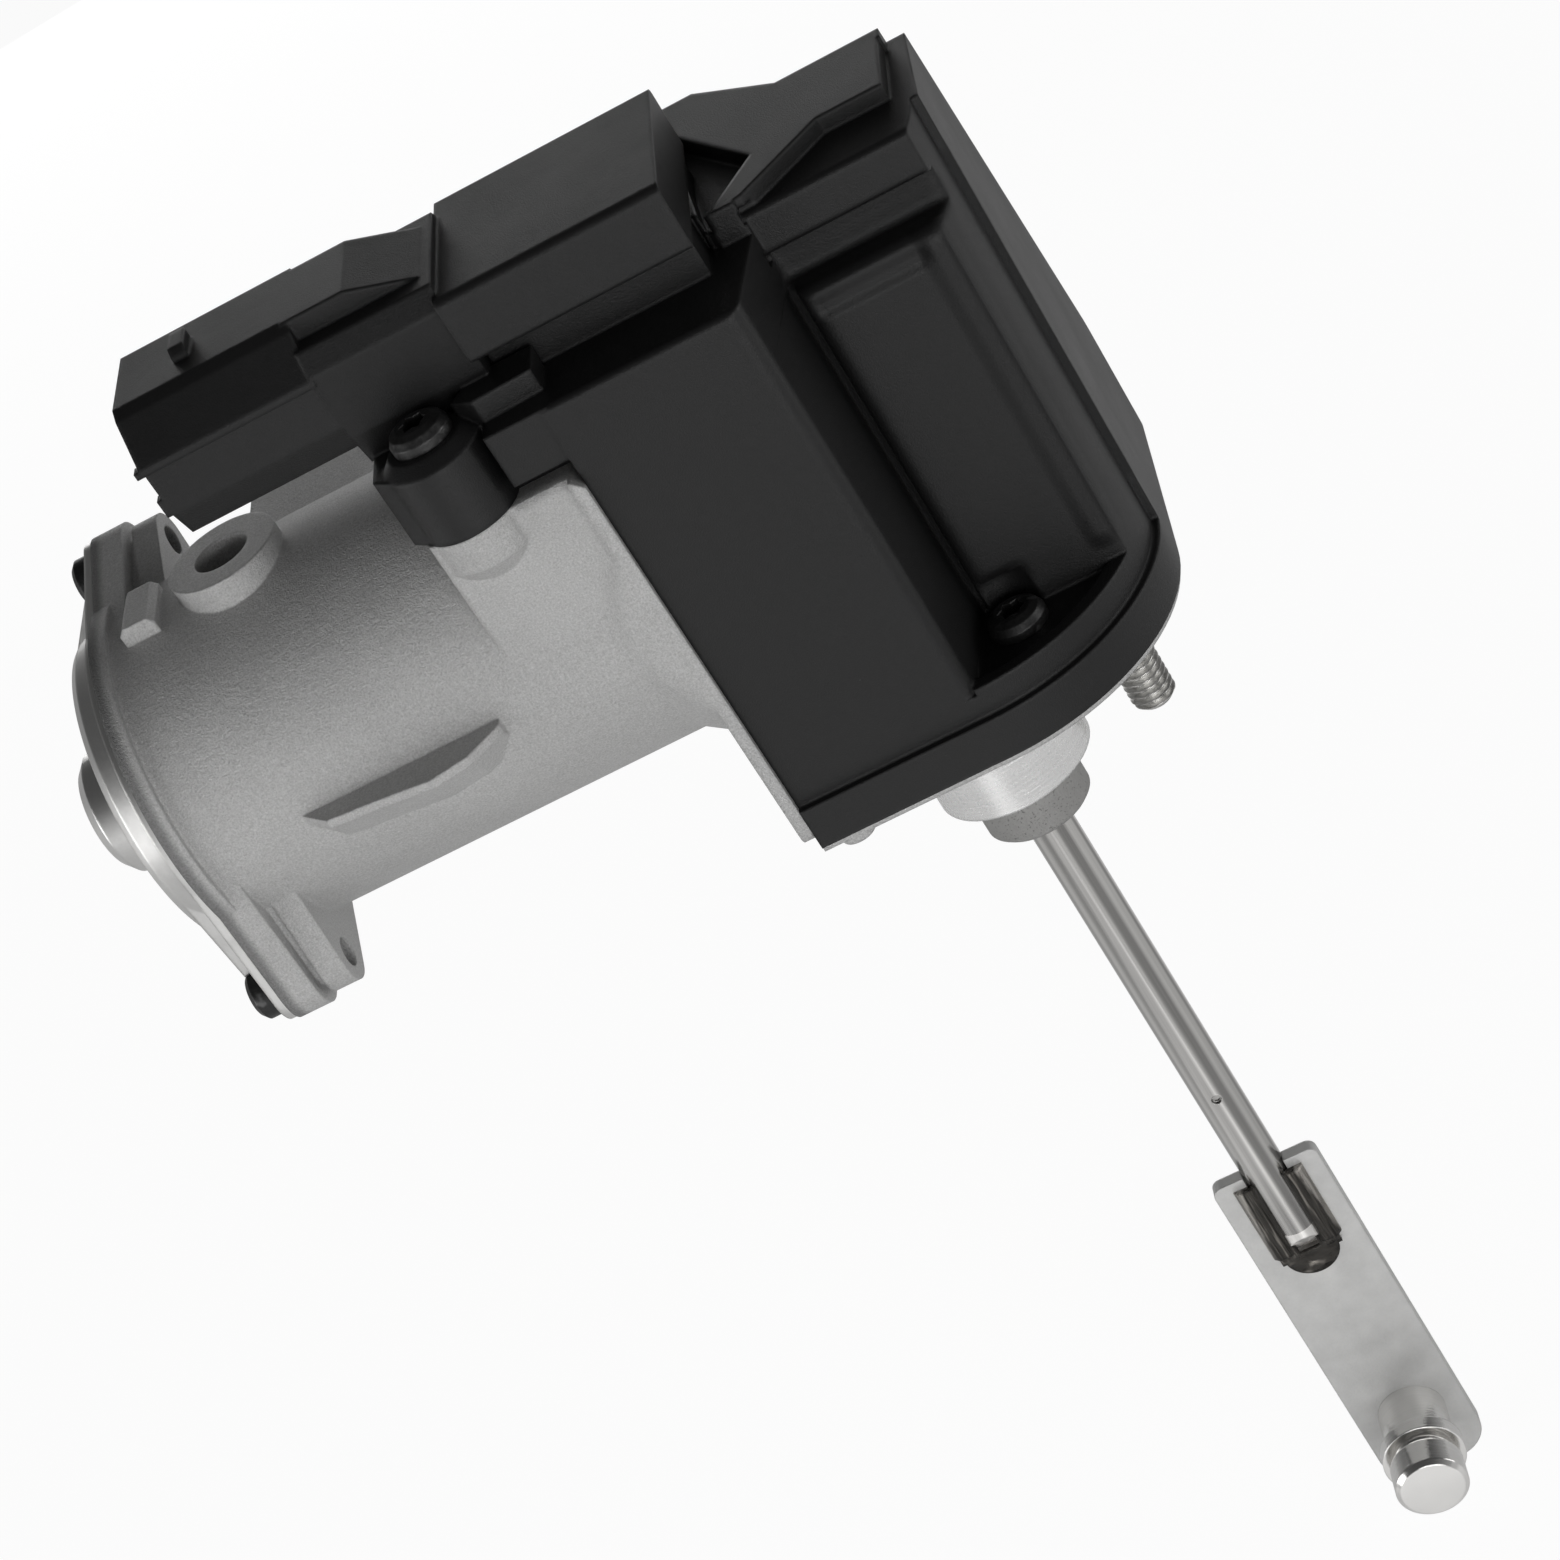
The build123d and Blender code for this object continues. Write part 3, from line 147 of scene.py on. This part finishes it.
def ramp(value, low, high):
    """0 below low, 1 above high and a smooth step between them."""
    return value.node("ShaderNodeMapRange", {"interpolation_type": "SMOOTHSTEP"},
                      {"Value": value, "From Min": low, "From Max": high})


def band(value, low, high, fade):
    """1 from low to high and 0 outside, with smooth slopes as wide as fade."""
    return ramp(value, low - fade, low) * (1 - ramp(value, high, high + fade))


def mixed(factor, first, second):
    """The first colour where factor is 0 and the second where it is 1."""
    return factor.node("ShaderNodeMix", {"data_type": "RGBA"}, {0: factor, 6: first, 7: second}, out=2)


def grey(value, tint=(1.0, 1.0, 1.0)):
    """A neutral colour as bright as value, a wire, with a slight tint."""
    return mixed(value, (0, 0, 0, 1), (*tint, 1))


def set_sockets(at, shader, **sockets):
    """Numbers go onto the shader's own sockets and wires are linked to them."""
    for key, value in sockets.items():
        socket = shader.inputs[key.replace("_", " ")]
        if isinstance(value, Wire):
            at.tree.links.new(value.socket, socket)
        else:
            socket.default_value = value


def rounded(at, radius):
    """The surface's normal with its edges and corners rounded to that radius."""
    return at.node("ShaderNodeBevel", {"samples": 8}, {"Radius": radius})


def softer(at, mask, small, large):
    """Edges rounded to the radius small where the mask is 0 and to large where it is 1."""
    return at.node("ShaderNodeMix", {"data_type": "VECTOR"},
                   {0: mask, 4: rounded(at, small), 5: rounded(at, large)}, out=1)


def relief(at, height, depth, normal=None):
    """A normal that follows height, depth metres from 0 to 1, over the given normal or the surface's own."""
    sockets = {"Height": height, "Distance": depth, "Strength": 1.0}
    if normal:
        sockets["Normal"] = normal
    return at.node("ShaderNodeBump", {}, sockets)


def paint(material, *nodes):
    """The CAD nodes of those names wear the material."""
    for name in nodes:
        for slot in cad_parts[name].material_slots:
            slot.material = material


def cast_aluminium():
    """Blasted grain a quarter of a millimetre wide over slow clouds, and turned rings on the spigot.

    The flare where the tube runs into the wall is blended far more softly than the other edges, and
    the rim of the flange is darker towards the cap's seam.
    """
    material, at, shader = open_material("cast aluminium")
    x, y, z = along(at, "X"), along(at, "Y"), along(at, "Z")
    grain = noise(at, 3900, roughness=0.75)
    lumps = noise(at, 1300)
    clouds = noise(at, 60, detail=4.0)
    rings = noise(at, 4200, detail=1.0, stretch=(60, 60, 1))
    turned = (z < base_low) * ((x * x + y * y) ** 0.5 < spigot_reach)
    cast_tone = 0.14 + 0.62 * grain + 0.08 * lumps + 0.12 * clouds
    turned_tone = 0.80 + 0.14 * rings
    # The rim of the flange is darkened towards the cap's seam.
    darker_by_seam = 1 - ramp(x + 0.0008 * clouds, flange_seam, flange_dark_end)
    tone = (cast_tone + turned * (turned_tone - cast_tone)) * (1 - 0.55 * darker_by_seam)
    height = (1 - turned) * (grain + 0.6 * lumps) + turned * 0.3 * rings
    flare = band(x, flare_start, flare_end, flare_fade) * (z > flare_low) * (y < 0.0)
    set_sockets(at, shader, Base_Color=grey(tone, cast_tint), Metallic=0.6,
                Roughness=0.46 + 0.14 * lumps - turned * 0.26,
                Normal=relief(at, height, 0.00016, softer(at, flare, cast_edge, flare_edge)))
    return material


paint(cast_aluminium(), "housing")


# The gearbox cover, one deep cap moulded in black glass-filled nylon. Its skin is finely grained,
# with a soft sheen on the rounded edges and a few pale specks of dust and glass. The solid's notch
# for the driver, above the screw in the pocket, is shortened here to what the photograph shows.

panel_left = 0.0060
panel_low = 0.0150
panel_high = 0.0630
panel_behind = 0.0024
groove_low = 0.0580
groove_high = 0.0586
groove_left = 0.0092
groove_right = 0.0215
ridge_left = 0.0236
ridge_right = 0.0244
moulded_edge = 0.0008
panel_edge = 0.0024
notch_centre = (0.0101, -0.0026)
notch_radius = 0.0050
notch_cad_top = 0.033
notch_top = 0.0158


def black_nylon():
    """Near black with a fine grain, slow changes of gloss and rare specks a sixth of a millimetre wide.

    The panel in the set-back at the right front has far softer edges than the rest, a shallow groove
    along its top and a low ridge down its right side.
    """
    material, at, shader = open_material("black nylon")
    x, y, z = along(at, "X"), along(at, "Y"), along(at, "Z")
    grain = noise(at, 4200, roughness=0.7)
    clouds = noise(at, 70, detail=4.0)
    scuffs = noise(at, 500, detail=2.0, stretch=(1, 1, 9))
    cells = at.node("ShaderNodeTexVoronoi", {"feature": "F1"},
                    {"Vector": at, "Scale": 300.0, "Randomness": 1.0})
    speck = (cells < 0.03) * ramp(noise(at, 150, detail=1.0), 0.60, 0.64)
    tone = 0.005 + 0.006 * grain + 0.003 * clouds + 0.07 * speck
    panel = ramp(x, panel_left - 0.0015, panel_left) * band(z, panel_low, panel_high, 0.0025)
    groove = band(z, groove_low, groove_high, 0.0018) * band(x, groove_left, groove_right, 0.0022)
    ridge = band(x, ridge_left, ridge_right, 0.0022)
    height = grain + panel * (y < panel_behind) * (7.0 * ridge - 8.0 * groove)
    set_sockets(at, shader, Base_Color=grey(tone, (1.0, 1.0, 1.02)),
                Roughness=0.32 + 0.12 * grain + 0.12 * clouds - 0.05 * scuffs, Specular_IOR_Level=0.36,
                Normal=relief(at, height, 0.00006, softer(at, panel, moulded_edge, panel_edge)))
    return material


def worked_copy(node):
    """A copy of a CAD node's surface with its loose triangles joined, and its points.

    Each corner's normal is read before the join and set again after it, so the shading stays.
    """
    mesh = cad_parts[node].data.copy()
    normals = np.empty(3 * len(mesh.loops), dtype=np.float32)
    mesh.corner_normals.foreach_get("vector", normals)
    whole = bmesh.new()
    whole.from_mesh(mesh)
    bmesh.ops.remove_doubles(whole, verts=whole.verts, dist=1e-7)
    whole.to_mesh(mesh)
    whole.free()
    mesh.normals_split_custom_set(normals.reshape(-1, 3))
    piece = bpy.data.objects.new(node + "_worked", mesh)
    bpy.context.collection.objects.link(piece)
    points = np.empty(3 * len(mesh.vertices), dtype=np.float32)
    mesh.vertices.foreach_get("co", points)
    return piece, points.reshape(-1, 3)


cover, cover_points = worked_copy("gearbox_cover")
from_screw = np.hypot(cover_points[:, 0] - notch_centre[0], cover_points[:, 1] - notch_centre[1])
in_notch = (from_screw < notch_radius) & (np.abs(cover_points[:, 2] - notch_cad_top) < 1e-4)
cover_points[in_notch, 2] = notch_top
cover.data.vertices.foreach_set("co", cover_points.ravel())
cover.data.update()
cover.data.materials.clear()
cover.data.materials.append(black_nylon())
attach(cover, "base")
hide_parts("gearbox_cover")


# The screws, steel pan heads with a six-lobed recess, blackened and oiled. Four hold the cover on
# the housing and two hold the end cap on the motor's flange.


def black_oxide():
    """Dark oiled steel, with bare metal showing where the driver has rubbed."""
    material, at, shader = open_material("black oxide steel")
    grain = noise(at, 1800)
    rubbed = ramp(noise(at, 420, detail=2.0), 0.60, 0.72)
    set_sockets(at, shader, Base_Color=grey(0.035 + 0.03 * grain + 0.10 * rubbed), Metallic=0.85,
                Roughness=0.30 + 0.22 * grain, Normal=relief(at, grain, 0.00003, rounded(at, 0.0003)))
    return material


paint(black_oxide(), "cover_screws", "cap_screws")


# The end cap, a cup pressed from bright zinc-plated sheet. Two ears clamp it over the open end of
# the motor tube, and its boss holds the rear bearing.


def pressed_zinc():
    """Bright sheet with the soft streaks and smears that pressing and handling leave."""
    material, at, shader = open_material("pressed zinc sheet")
    streaks = noise(at, 260, stretch=(1, 6, 6))
    smears = noise(at, 90, detail=4.0)
    fine = noise(at, 2400, detail=2.0)
    tone = 0.62 + 0.16 * streaks - 0.14 * ramp(smears, 0.55, 0.75) + 0.06 * fine
    set_sockets(at, shader, Base_Color=grey(tone, (1.0, 0.995, 0.98)), Metallic=1.0,
                Roughness=0.22 + 0.20 * smears + 0.06 * fine,
                Normal=relief(at, smears + 0.2 * fine, 0.00005, rounded(at, 0.0005)))
    return material


paint(pressed_zinc(), "end_cap", "motor_can")


# The push rod, drawn steel bar ground along its length, so that it mirrors its surroundings in
# lines. The hidden shafts, pins and bearings are ground from the same kind of bar.

rod_cut = -0.0935
haze_low = -0.093
haze_high = -0.078


def ground_steel():
    """Long fine scratches along the rod over broader drawn streaks, and a brown haze towards the weld.

    The slanted end, where the rod was cut off, is coarse, and painted bright as a painted highlight.
    """
    material, at, shader = open_material("ground steel")
    y, z = along(at, "Y"), along(at, "Z")
    scratches = noise(at, 5200, detail=2.0, stretch=(1, 1, 90))
    streaks = ramp(noise(at, 620, detail=1.0, stretch=(1, 1, 400)), 0.35, 0.65)
    haze = 1 - ramp(z, haze_low, haze_high)
    cut_end_painted_bright = (z < rod_cut) * (y < 0.0)
    # The cut end's tone is raised as a painted highlight; its extra roughness is the real coarse cut.
    tone = 0.26 + 0.14 * scratches + 0.50 * streaks - 0.08 * haze + 0.45 * cut_end_painted_bright
    set_sockets(at, shader, Base_Color=grey(tone, (1.0, 0.985, 0.96)), Metallic=1.0,
                Roughness=0.12 + 0.12 * scratches + 0.10 * haze + 0.25 * cut_end_painted_bright,
                Normal=relief(at, scratches + 2.0 * streaks, 0.000012, rounded(at, 0.0002)))
    return material


paint(ground_steel(), "push_rod", "motor_shaft", "output_shaft", "gear_one_pin", "gear_two_pin",
      "carrier_pin", "front_bearing", "rear_bearing")


# The end plate, a blank of rolled steel with rounded corners. It is slotted over the rod's end,
# welded to it, and carries the lever pin.

burnt_middle = -0.0925
burnt_inner = 0.0042
burnt_outer = 0.0078
burnt_colour = (0.16, 0.135, 0.11, 1)


def rolled_plate():
    """Matt grey rolled skin, faintly mottled, burnt dark and straw round the weld.

    The burn fades with the distance from the weld's middle, measured in an upright oval.
    """
    material, at, shader = open_material("rolled plate")
    x, z = along(at, "X"), along(at, "Z") - burnt_middle
    mottle = noise(at, 240, detail=4.0)
    grain = noise(at, 3000, detail=2.0)
    away = (x * x * 1.7 + z * z * 0.55) ** 0.5
    burnt = 1 - ramp(away + 0.0016 * mottle, burnt_inner, burnt_outer)
    skin = grey(0.50 + 0.24 * mottle + 0.05 * grain, (1.0, 0.998, 0.985))
    set_sockets(at, shader, Base_Color=mixed(burnt * 0.8, skin, burnt_colour), Metallic=0.55,
                Roughness=0.46 + 0.14 * mottle,
                Normal=relief(at, grain + mottle, 0.00003, rounded(at, 0.0004)))
    return material


paint(rolled_plate(), "end_plate")


# The weld seam, steel melted down both sides of the rod and run together below its end. It froze
# as dark glassy strips that bind the rod to the plate.

weld_foot = -0.0990
strip_spread = 0.08
strip_inner = 0.0048
strip_outer = 0.0053
lumps_low = -0.0985
lumps_high = -0.0972


def weld_metal():
    """Dark glassy scale with streaks along the rod, and rounded lumps below the rod's end.

    The molten strip widens downwards, and outside it the skin is the plate's own, browned by the heat.
    """
    material, at, shader = open_material("weld metal")
    x, z = along(at, "X"), along(at, "Z")
    streaks = noise(at, 1500, detail=2.0, stretch=(1, 1, 12))
    lumps = noise(at, 700, detail=1.0, stretch=(2, 1, 1))
    ragged = noise(at, 900, stretch=(1, 1, 4))
    beside = abs(x) + 0.0010 * (ragged - 0.5) + strip_spread * (z - weld_foot)
    melted = 1 - ramp(beside, strip_inner, strip_outer)
    below = 1 - ramp(z, lumps_low, lumps_high)
    body = streaks + below * (lumps - streaks)
    skin = grey(0.26 + 0.20 * streaks, (1.0, 0.95, 0.88))
    molten = grey(0.012 + 0.06 * body + 0.16 * ramp(body, 0.56, 0.74), (1.0, 0.93, 0.84))
    set_sockets(at, shader, Base_Color=mixed(melted, skin, molten), Metallic=0.8,
                Roughness=0.20 + 0.2 * ragged, Normal=relief(at, body, 0.0008, rounded(at, 0.0009)))
    return material


paint(weld_metal(), "weld_seam")


# The lever pin, turned from bright bar with a collar and a groove for a clip. Its shank goes
# through the plate and is riveted over at the back.


def turned_steel():
    """Bright steel with fine grooves round the pin's own axis, which runs along Y."""
    material, at, shader = open_material("turned steel")
    grooves = noise(at, 6000, detail=1.0, stretch=(40, 1, 40))
    smudge = noise(at, 200)
    set_sockets(at, shader, Base_Color=grey(0.70 + 0.16 * grooves - 0.08 * smudge, (1.0, 0.99, 0.97)),
                Metallic=1.0, Roughness=0.10 + 0.12 * smudge,
                Normal=relief(at, grooves, 0.00002, rounded(at, 0.0003)))
    return material


paint(turned_steel(), "lever_pin")


# The guide bush, pressed and sintered from iron powder and soaked in oil, so that it is dull,
# porous and grey. It sits in the spigot, and a like one carries the output shaft.


def sintered_iron():
    """A dull sandy skin with open pores."""
    material, at, shader = open_material("sintered iron")
    grain = noise(at, 2800, detail=4.0, roughness=0.7)
    pores = ramp(noise(at, 3600, detail=1.0), 0.64, 0.72)
    set_sockets(at, shader, Base_Color=grey(0.27 + 0.15 * grain - 0.12 * pores, (1.0, 0.99, 0.97)),
                Metallic=0.6, Roughness=0.52 + 0.15 * grain,
                Normal=relief(at, grain - pores, 0.00007, rounded(at, 0.0003)))
    return material


paint(sintered_iron(), "rod_bush", "output_bush")


# The three mounting studs, rolled M6 thread in bright zinc. Each has a wider plain shank that is
# pressed into the base, so only the threaded end shows below the mounting face.

stud_places = ((0.0185, 0.007), (-0.0145, 0.036), (0.0175, 0.037))
stud_low_z = -0.014
stud_high_z = 0.0062
stud_radius = 0.003
shank_radius = 0.0037
thread_pitch = 0.001
thread_depth = 0.0006
thread_point = 0.0009
thread_flat = 0.15
points_round = 48
rows_per_turn = 10


def stud_surface(x0, y0):
    """The radius is the crest's less a triangle wave of height less turn, one pitch long, flat on its crests.

    Towards the tip the crests are cut down by a cone, and above the mounting face the shank takes over.
    """
    rows = int(-stud_low_z / thread_pitch * rows_per_turn)
    heights = np.linspace(stud_low_z, 0.0, rows)
    z, turn = np.meshgrid(heights, np.arange(points_round) / points_round, indexing="ij")
    wave = np.abs(((z / thread_pitch - turn) % 1.0) * 2 - 1)
    crest = np.clip(wave * (1 + 2 * thread_flat) - thread_flat, 0, 1)
    cone = stud_radius - thread_point + (z - stud_low_z)
    radius = np.minimum(stud_radius - thread_depth * (1 - crest), cone)
    shank_z = np.array([[0.0], [stud_high_z]]) + 0 * turn[:2]
    z = np.concatenate([z, shank_z])
    radius = np.concatenate([radius, shank_radius + 0 * shank_z])
    angle = 2 * np.pi * np.concatenate([turn, turn[:2]])
    return np.stack([x0 + radius * np.cos(angle), y0 + radius * np.sin(angle), z], axis=-1)


def closed_tubes(name, tubes):
    """Each tube is rows of points round an axis, lowest first, joined up and closed by flat caps."""
    points = []
    faces = []
    for tube in tubes:
        first = sum(len(p) for p in points)
        index = np.arange(tube.shape[0] * tube.shape[1]).reshape(tube.shape[:2]) + first
        here, there = index[:-1], index[1:]
        quads = np.stack([here, np.roll(here, -1, 1), np.roll(there, -1, 1), there], axis=-1)
        faces += quads.reshape(-1, 4).tolist() + [index[0][::-1].tolist(), index[-1].tolist()]
        points.append(tube.reshape(-1, 3))
    mesh = bpy.data.meshes.new(name)
    mesh.from_pydata(np.concatenate(points).tolist(), [], faces)
    mesh.shade_smooth()
    mesh.set_sharp_from_angle(angle=0.9)
    piece = bpy.data.objects.new(name, mesh)
    bpy.context.collection.objects.link(piece)
    return piece


def bright_thread():
    """Zinc-bright flanks with grime left in patches."""
    material, at, shader = open_material("bright thread")
    grime = noise(at, 900)
    set_sockets(at, shader, Base_Color=grey(0.62 - 0.22 * ramp(grime, 0.5, 0.75), (1.0, 0.99, 0.96)),
                Metallic=1.0, Roughness=0.24 + 0.2 * grime, Normal=relief(at, grime, 0.00002))
    return material


studs = closed_tubes("stud_threads", [stud_surface(x, y) for x, y in stud_places])
studs.data.materials.append(bright_thread())
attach(studs, "base")
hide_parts("mounting_studs")


# What the covers hide: the motor's iron and copper, the gears, the seals and the position sensor.
# Each has its real colour and grain, though only a section or an opened part would show them.


def plain_finish(name, colour, metallic, roughness, grains_per_metre, depth):
    """One colour, lightened and darkened by a tenth or two by its grain, which also roughens it."""
    material, at, shader = open_material(name)
    grain = noise(at, grains_per_metre)
    light = tuple(min(1.0, 1.15 * c) for c in colour) + (1,)
    dark = tuple(0.8 * c for c in colour) + (1,)
    set_sockets(at, shader, Base_Color=mixed(grain, dark, light), Metallic=metallic,
                Roughness=roughness + 0.15 * (grain - 0.5), Normal=relief(at, grain, depth))
    return material


paint(plain_finish("moulded rubber", (0.022, 0.022, 0.022), 0.0, 0.65, 1500, 0.00003),
      "cover_gasket", "cap_seal", "rod_seal")
paint(plain_finish("ferrite", (0.07, 0.07, 0.075), 0.2, 0.55, 900, 0.00004),
      "magnets", "sensor_magnet")
paint(plain_finish("core laminations", (0.22, 0.22, 0.22), 0.7, 0.45, 1200, 0.00004),
      "armature_core")
paint(plain_finish("enamelled copper", (0.55, 0.22, 0.09), 0.9, 0.35, 1300, 0.00008),
      "windings", "commutator")
paint(plain_finish("sintered gear steel", (0.36, 0.36, 0.35), 0.9, 0.40, 1900, 0.00003),
      "motor_pinion", "output_gear", "rack_carrier")
paint(plain_finish("natural nylon", (0.66, 0.62, 0.50), 0.0, 0.42, 700, 0.00003),
      "gear_one", "gear_two", "brush_card")
paint(plain_finish("brush carbon", (0.035, 0.035, 0.035), 0.3, 0.5, 2000, 0.00003),
      "brushes", "hall_chip")
paint(plain_finish("solder resist", (0.015, 0.11, 0.05), 0.0, 0.3, 600, 0.00002), "sensor_board")
paint(plain_finish("tinned brass", (0.62, 0.58, 0.48), 1.0, 0.28, 1100, 0.00002),
      "connector_terminals")


# The floor, a pale sheet that takes a soft shadow. The camera sees it almost white, and polished
# metal mirrors it dimmer, with a bright card that lies in front and to the left of the part.

floor_drop = 0.002
floor_half = 6.0
floor_white = 1.07
seen_share = 0.88
mirrored_share = 0.30
card_share = 0.65
card_cos = 0.87
card_sin = 0.48
card_half = 0.03
card_fade = 0.08
card_start = 0.05

lowest_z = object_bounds()[0][2]
floor_z = lowest_z - floor_drop
floor_corners = [(x * floor_half, y * floor_half, floor_z) for x, y in ((-1, -1), (1, -1), (1, 1), (-1, 1))]
floor_mesh = bpy.data.meshes.new("floor")
floor_mesh.from_pydata(floor_corners, [], [(0, 1, 2, 3)])
floor = bpy.data.objects.new("floor", floor_mesh)
bpy.context.collection.objects.link(floor)

floor_material, floor_at, floor_shader = open_material("pale floor")
set_sockets(floor_at, floor_shader, Base_Color=(0.86, 0.86, 0.86, 1), Roughness=0.8, Specular_IOR_Level=0.1)
lit = Wire(floor_at.tree, floor_shader.outputs[0])
glow = floor_at.node("ShaderNodeEmission", {}, {"Color": (1, 1, 1, 1), "Strength": floor_white})
camera_ray = floor_at.node("ShaderNodeLightPath", {}, {}, out="Is Camera Ray")
glossy_ray = floor_at.node("ShaderNodeLightPath", {}, {}, out="Is Glossy Ray")
floor_x, floor_y = along(floor_at, "X"), along(floor_at, "Y")
across_card = abs(floor_x * card_cos - floor_y * card_sin)
card = (1 - ramp(across_card, card_half, card_fade)) * ramp(0 - floor_y, 0.0, card_start)
white_share = camera_ray * seen_share + glossy_ray * (mirrored_share + card_share * card)
floor_look = floor_at.node("ShaderNodeMixShader", {}, {0: white_share, 1: lit, 2: glow})
floor_at.tree.links.new(floor_look.socket, floor_at.tree.nodes["Material Output"].inputs["Surface"])
floor.data.materials.append(floor_material)


# The studio round the part: white where the camera looks past the floor, and otherwise a pale grey
# that darkens upwards. Four soft lamps stand low round the part, the strongest of them in front.

studio_seen = 0.98
studio_low = 0.40
studio_drop = 0.33
middle = (-0.03, 0.01, -0.01)

world = bpy.data.worlds.new("studio")
world.use_nodes = True
bpy.context.scene.world = world
surround = Wire(world.node_tree, world.node_tree.nodes["Background"].outputs[0])
facing = surround.node("ShaderNodeTexCoord", {}, {}, out="Generated")
dimming = studio_low - studio_drop * ramp(along(facing, "Z"), -0.2, 0.7)
camera_sight = surround.node("ShaderNodeLightPath", {}, {}, out="Is Camera Ray")
soft = surround.node("ShaderNodeBackground", {}, {"Color": (1, 1, 1, 1), "Strength": dimming})
white = surround.node("ShaderNodeBackground", {}, {"Color": (1, 1, 1, 1), "Strength": studio_seen})
studio = surround.node("ShaderNodeMixShader", {}, {0: camera_sight, 1: soft, 2: white})
world.node_tree.links.new(studio.socket, world.node_tree.nodes["World Output"].inputs["Surface"])


def softbox(name, place, aim, size, power):
    """A square area light of that size at place, facing aim."""
    lamp = bpy.data.lights.new(name, "AREA")
    lamp.shape = "SQUARE"
    lamp.size = size
    lamp.energy = power
    holder = bpy.data.objects.new(name, lamp)
    turn = (Vector(aim) - Vector(place)).to_track_quat("-Z", "Y")
    holder.matrix_world = Matrix.Translation(place) @ turn.to_matrix().to_4x4()
    bpy.context.collection.objects.link(holder)


softbox("key", (0.20, -0.90, -0.10), middle, 0.8, 5.8)
softbox("fill", (-0.85, -0.35, -0.05), middle, 0.6, 2.6)
softbox("side", (0.90, -0.05, 0.02), middle, 0.6, 2.0)
softbox("back", (-0.15, 0.95, -0.08), middle, 0.8, 2.6)


# The camera stands where the photograph's did, half a metre in front, a little to the right and
# above, rolled by about thirty degrees, with a long lens.

photo_width = 1560
lens_pixels = 4200
sensor_width = 36.0
camera_place = Vector((0.0848, -0.4387, 0.2644))
camera_right = Vector((0.8776, -0.0602, -0.4756))
camera_back = Vector((0.2128, -0.8400, 0.4992))

camera_up = camera_back.cross(camera_right).normalized()
camera_right = camera_up.cross(camera_back).normalized()
camera_back.normalize()
camera_turn = Matrix((camera_right, camera_up, camera_back)).transposed()
camera_data = bpy.data.cameras.new("camera")
camera_data.sensor_width = sensor_width
camera_data.lens = sensor_width * lens_pixels / photo_width
camera_data.clip_start = 0.01
camera = bpy.data.objects.new("camera", camera_data)
camera.matrix_world = Matrix.Translation(camera_place) @ camera_turn.to_4x4()
bpy.context.collection.objects.link(camera)
bpy.context.scene.camera = camera
bpy.context.scene.view_settings.view_transform = "Standard"
